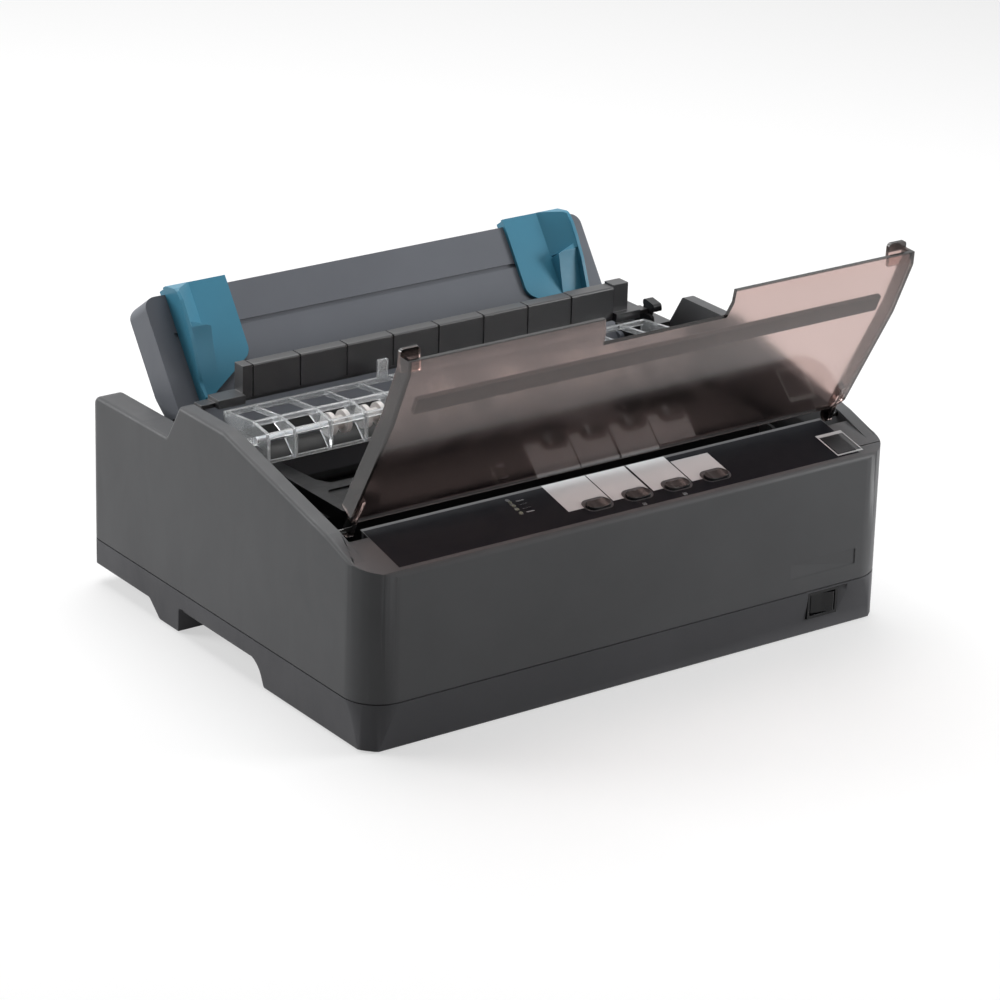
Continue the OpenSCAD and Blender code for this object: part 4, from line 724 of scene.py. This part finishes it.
def deck_film_painted_shade():
    """A dark film over the control deck, with room for the buttons and the lights: partly a real
    panel film, partly painted shade for the open cover's shadow and its dark reflection on the
    deck.
    """
    piece = deck_plate("control_deck_film_painted_shade", *FILM, FILM_CORNER, FILM_T)
    for name in BUTTONS:
        lo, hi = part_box(name)
        x, y = box_middle(lo, hi)
        radius = (hi.y - lo.y) / 2 / MM + FILM_GAP
        half = (hi.x - lo.x) / 2 / MM + FILM_GAP - radius
        cut_slot(piece, (x, y, deck_z(y)), half, radius, THROUGH)
    lo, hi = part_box("status_lights")
    first = lo.y / MM + LIGHT_EDGE
    step = ((hi.y - lo.y) / MM - 2 * LIGHT_EDGE) / (LIGHTS - 1)
    for i in range(LIGHTS):
        y = first + i * step
        cut(piece, cylinder("cutter", (box_middle(lo, hi)[0], y, deck_z(y)), LIGHT_ROOM, THROUGH))
    return piece


def thin_piece(piece, material):
    """A plate of the deck with its material, carried by the case."""
    piece.data.materials.clear()
    piece.data.materials.append(material)
    smooth(piece)
    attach(piece, "root")


# Near-black, low-gloss film: partly the panel film's own colour, partly painted shade standing in
# for the shadow and dark reflection of the open cover on the deck.
DECK_FILM_PAINTED_SHADE = plastic("control deck film painted shade", (0.0035, 0.0042, 0.0065), clean=0.45, handled=0.55,
    specular=0.06)
LABEL_PAPER = plastic("label film", (0.52, 0.53, 0.54), clean=0.35, handled=0.5, scale=900.0,
    lift=1.06)
BADGE_GREY = plastic("bare badge", (0.06, 0.062, 0.066), clean=0.3, handled=0.42)
PRINT_GREY = plastic("panel print", (0.42, 0.44, 0.45), clean=0.35, handled=0.5, scale=900.0,
    lift=1.06)

thin_piece(deck_film_painted_shade(), DECK_FILM_PAINTED_SHADE)
for number, (button, label) in enumerate(zip(BUTTONS, LABELS), 1):
    thin_piece(control_label(number, button, *label), LABEL_PAPER)

# Bare badge with a fine outline at the deck's right end
thin_piece(frame_plate("badge_outline", *BADGE, BADGE_LINE, BADGE_CORNER), PRINT_GREY)
thin_piece(deck_plate("badge_face", *BADGE_FACE, FACE_CORNER, MARK_T), BADGE_GREY)

# Two small marks in front of the gaps between the first three buttons
for number, x in enumerate(MARKS_X, 1):
    mark = deck_plate("deck_mark_%d" % number, x - MARK_HALF, x + MARK_HALF, MARK_FRONT, MARK_REAR,
        MARK_CORNER, MARK_T)
    thin_piece(mark, PRINT_GREY)

# Dashes beside the status lights
for number in range(LIGHTS):
    y = DASH_REAR - DASH_STEP * number
    dash = deck_plate("light_mark_%d" % (number + 1), DASH_LEFT, DASH_RIGHT, y - DASH_HALF,
        y + DASH_HALF, DASH_CORNER, MARK_T)
    thin_piece(dash, PRINT_GREY)


# ---------------------------------------------------------------- stage, light, camera, in metres

WORLD_LEVEL = 0.12
FLOOR_GREY = (0.42, 0.42, 0.42)
FLOOR_GLOW = 0.55
FLOOR_SIZE = 12.0
CAMERA_PLACE = (-1.2570, -1.7359, 0.9293)
CAMERA_AZIMUTH, CAMERA_HEIGHT, CAMERA_ROLL = -35.99, 22.09, 1.61  # degrees
LENS, SENSOR = 150.57, 36.0
SHIFT_X, SHIFT_Y = 0.0049, -0.001
LAMPS = [  # name, place, what it faces, size, power in watts
    ("top_light", (0.1, 0.5, 1.7), (0, 0, 0.1), 1.4, 30),
    ("left_light", (-1.35, 1.25, 0.75), (-0.17, 0, 0.08), 0.9, 24),
    ("right_light", (0.95, -0.6, 0.4), (0.18, -0.12, 0.07), 0.45, 9)]


def make_camera():
    """A long lens from the front left, a little above the printer."""
    a, e, r = (math.radians(v) for v in (CAMERA_AZIMUTH, CAMERA_HEIGHT, CAMERA_ROLL))
    back = Vector((math.sin(a) * math.cos(e), -math.cos(a) * math.cos(e), math.sin(e)))
    right = Vector((math.cos(a), math.sin(a), 0))
    up = back.cross(right)
    turned = right * math.cos(r) + up * math.sin(r), up * math.cos(r) - right * math.sin(r), back
    data = bpy.data.cameras.new("camera")
    data.lens, data.sensor_width, data.clip_end = LENS, SENSOR, 50
    data.shift_x, data.shift_y = SHIFT_X, SHIFT_Y
    camera = bpy.data.objects.new("camera", data)
    bpy.context.scene.collection.objects.link(camera)
    axes = Matrix([list(v) for v in turned]).transposed().to_4x4()
    camera.matrix_world = Matrix.Translation(CAMERA_PLACE) @ axes
    bpy.context.scene.camera = camera


def seen_directly(tree):
    """1 on camera, glossy and transmission rays, and 0 on diffuse light."""
    path = add(tree, "ShaderNodeLightPath")
    kinds = ("Camera", "Glossy", "Transmission")
    return largest(tree, [path.outputs["Is %s Ray" % kind] for kind in kinds])


def make_world():
    """A world that shows white and lights the object at a plain level."""
    world = bpy.data.worlds.new("studio")
    bpy.context.scene.world = world
    world.use_nodes = True
    tree = world.node_tree
    shader = tree.nodes["Background"]
    strength = add(tree, "ShaderNodeMapRange", inputs={"To Min": WORLD_LEVEL, "To Max": 1.0})
    tree.links.new(seen_directly(tree), strength.inputs["Value"])
    tree.links.new(strength.outputs["Result"], shader.inputs["Strength"])
    shader.inputs["Color"].default_value = (1, 1, 1, 1)


def make_floor():
    """A pale floor that shows white and keeps a soft shadow."""
    deselect()
    bpy.ops.mesh.primitive_plane_add(size=FLOOR_SIZE, location=(0, 0, 0))
    floor = bpy.context.object
    floor.name = "floor"
    material, tree, shader = new_material("pale floor")
    shader.inputs["Base Color"].default_value = rgb(FLOOR_GREY)
    shader.inputs["Roughness"].default_value = 0.9
    shader.inputs["Specular IOR Level"].default_value = 0.0
    shader.inputs["Emission Color"].default_value = (1, 1, 1, 1)
    glow = add(tree, "ShaderNodeMath", operation="MULTIPLY", inputs={1: FLOOR_GLOW})
    tree.links.new(seen_directly(tree), glow.inputs[0])
    tree.links.new(glow.outputs[0], shader.inputs["Emission Strength"])
    floor.data.materials.append(material)


def area_light(name, place, aim, size, power):
    """A square lamp at a place, turned to what it faces."""
    data = bpy.data.lights.new(name, "AREA")
    data.shape, data.size, data.energy = "SQUARE", size, power
    lamp = bpy.data.objects.new(name, data)
    bpy.context.scene.collection.objects.link(lamp)
    lamp.location = place
    lamp.rotation_euler = (Vector(aim) - Vector(place)).to_track_quat("-Z", "Y").to_euler()


make_camera()
make_world()
make_floor()
for lamp in LAMPS:
    area_light(*lamp)
bpy.context.scene.view_settings.view_transform = "Standard"
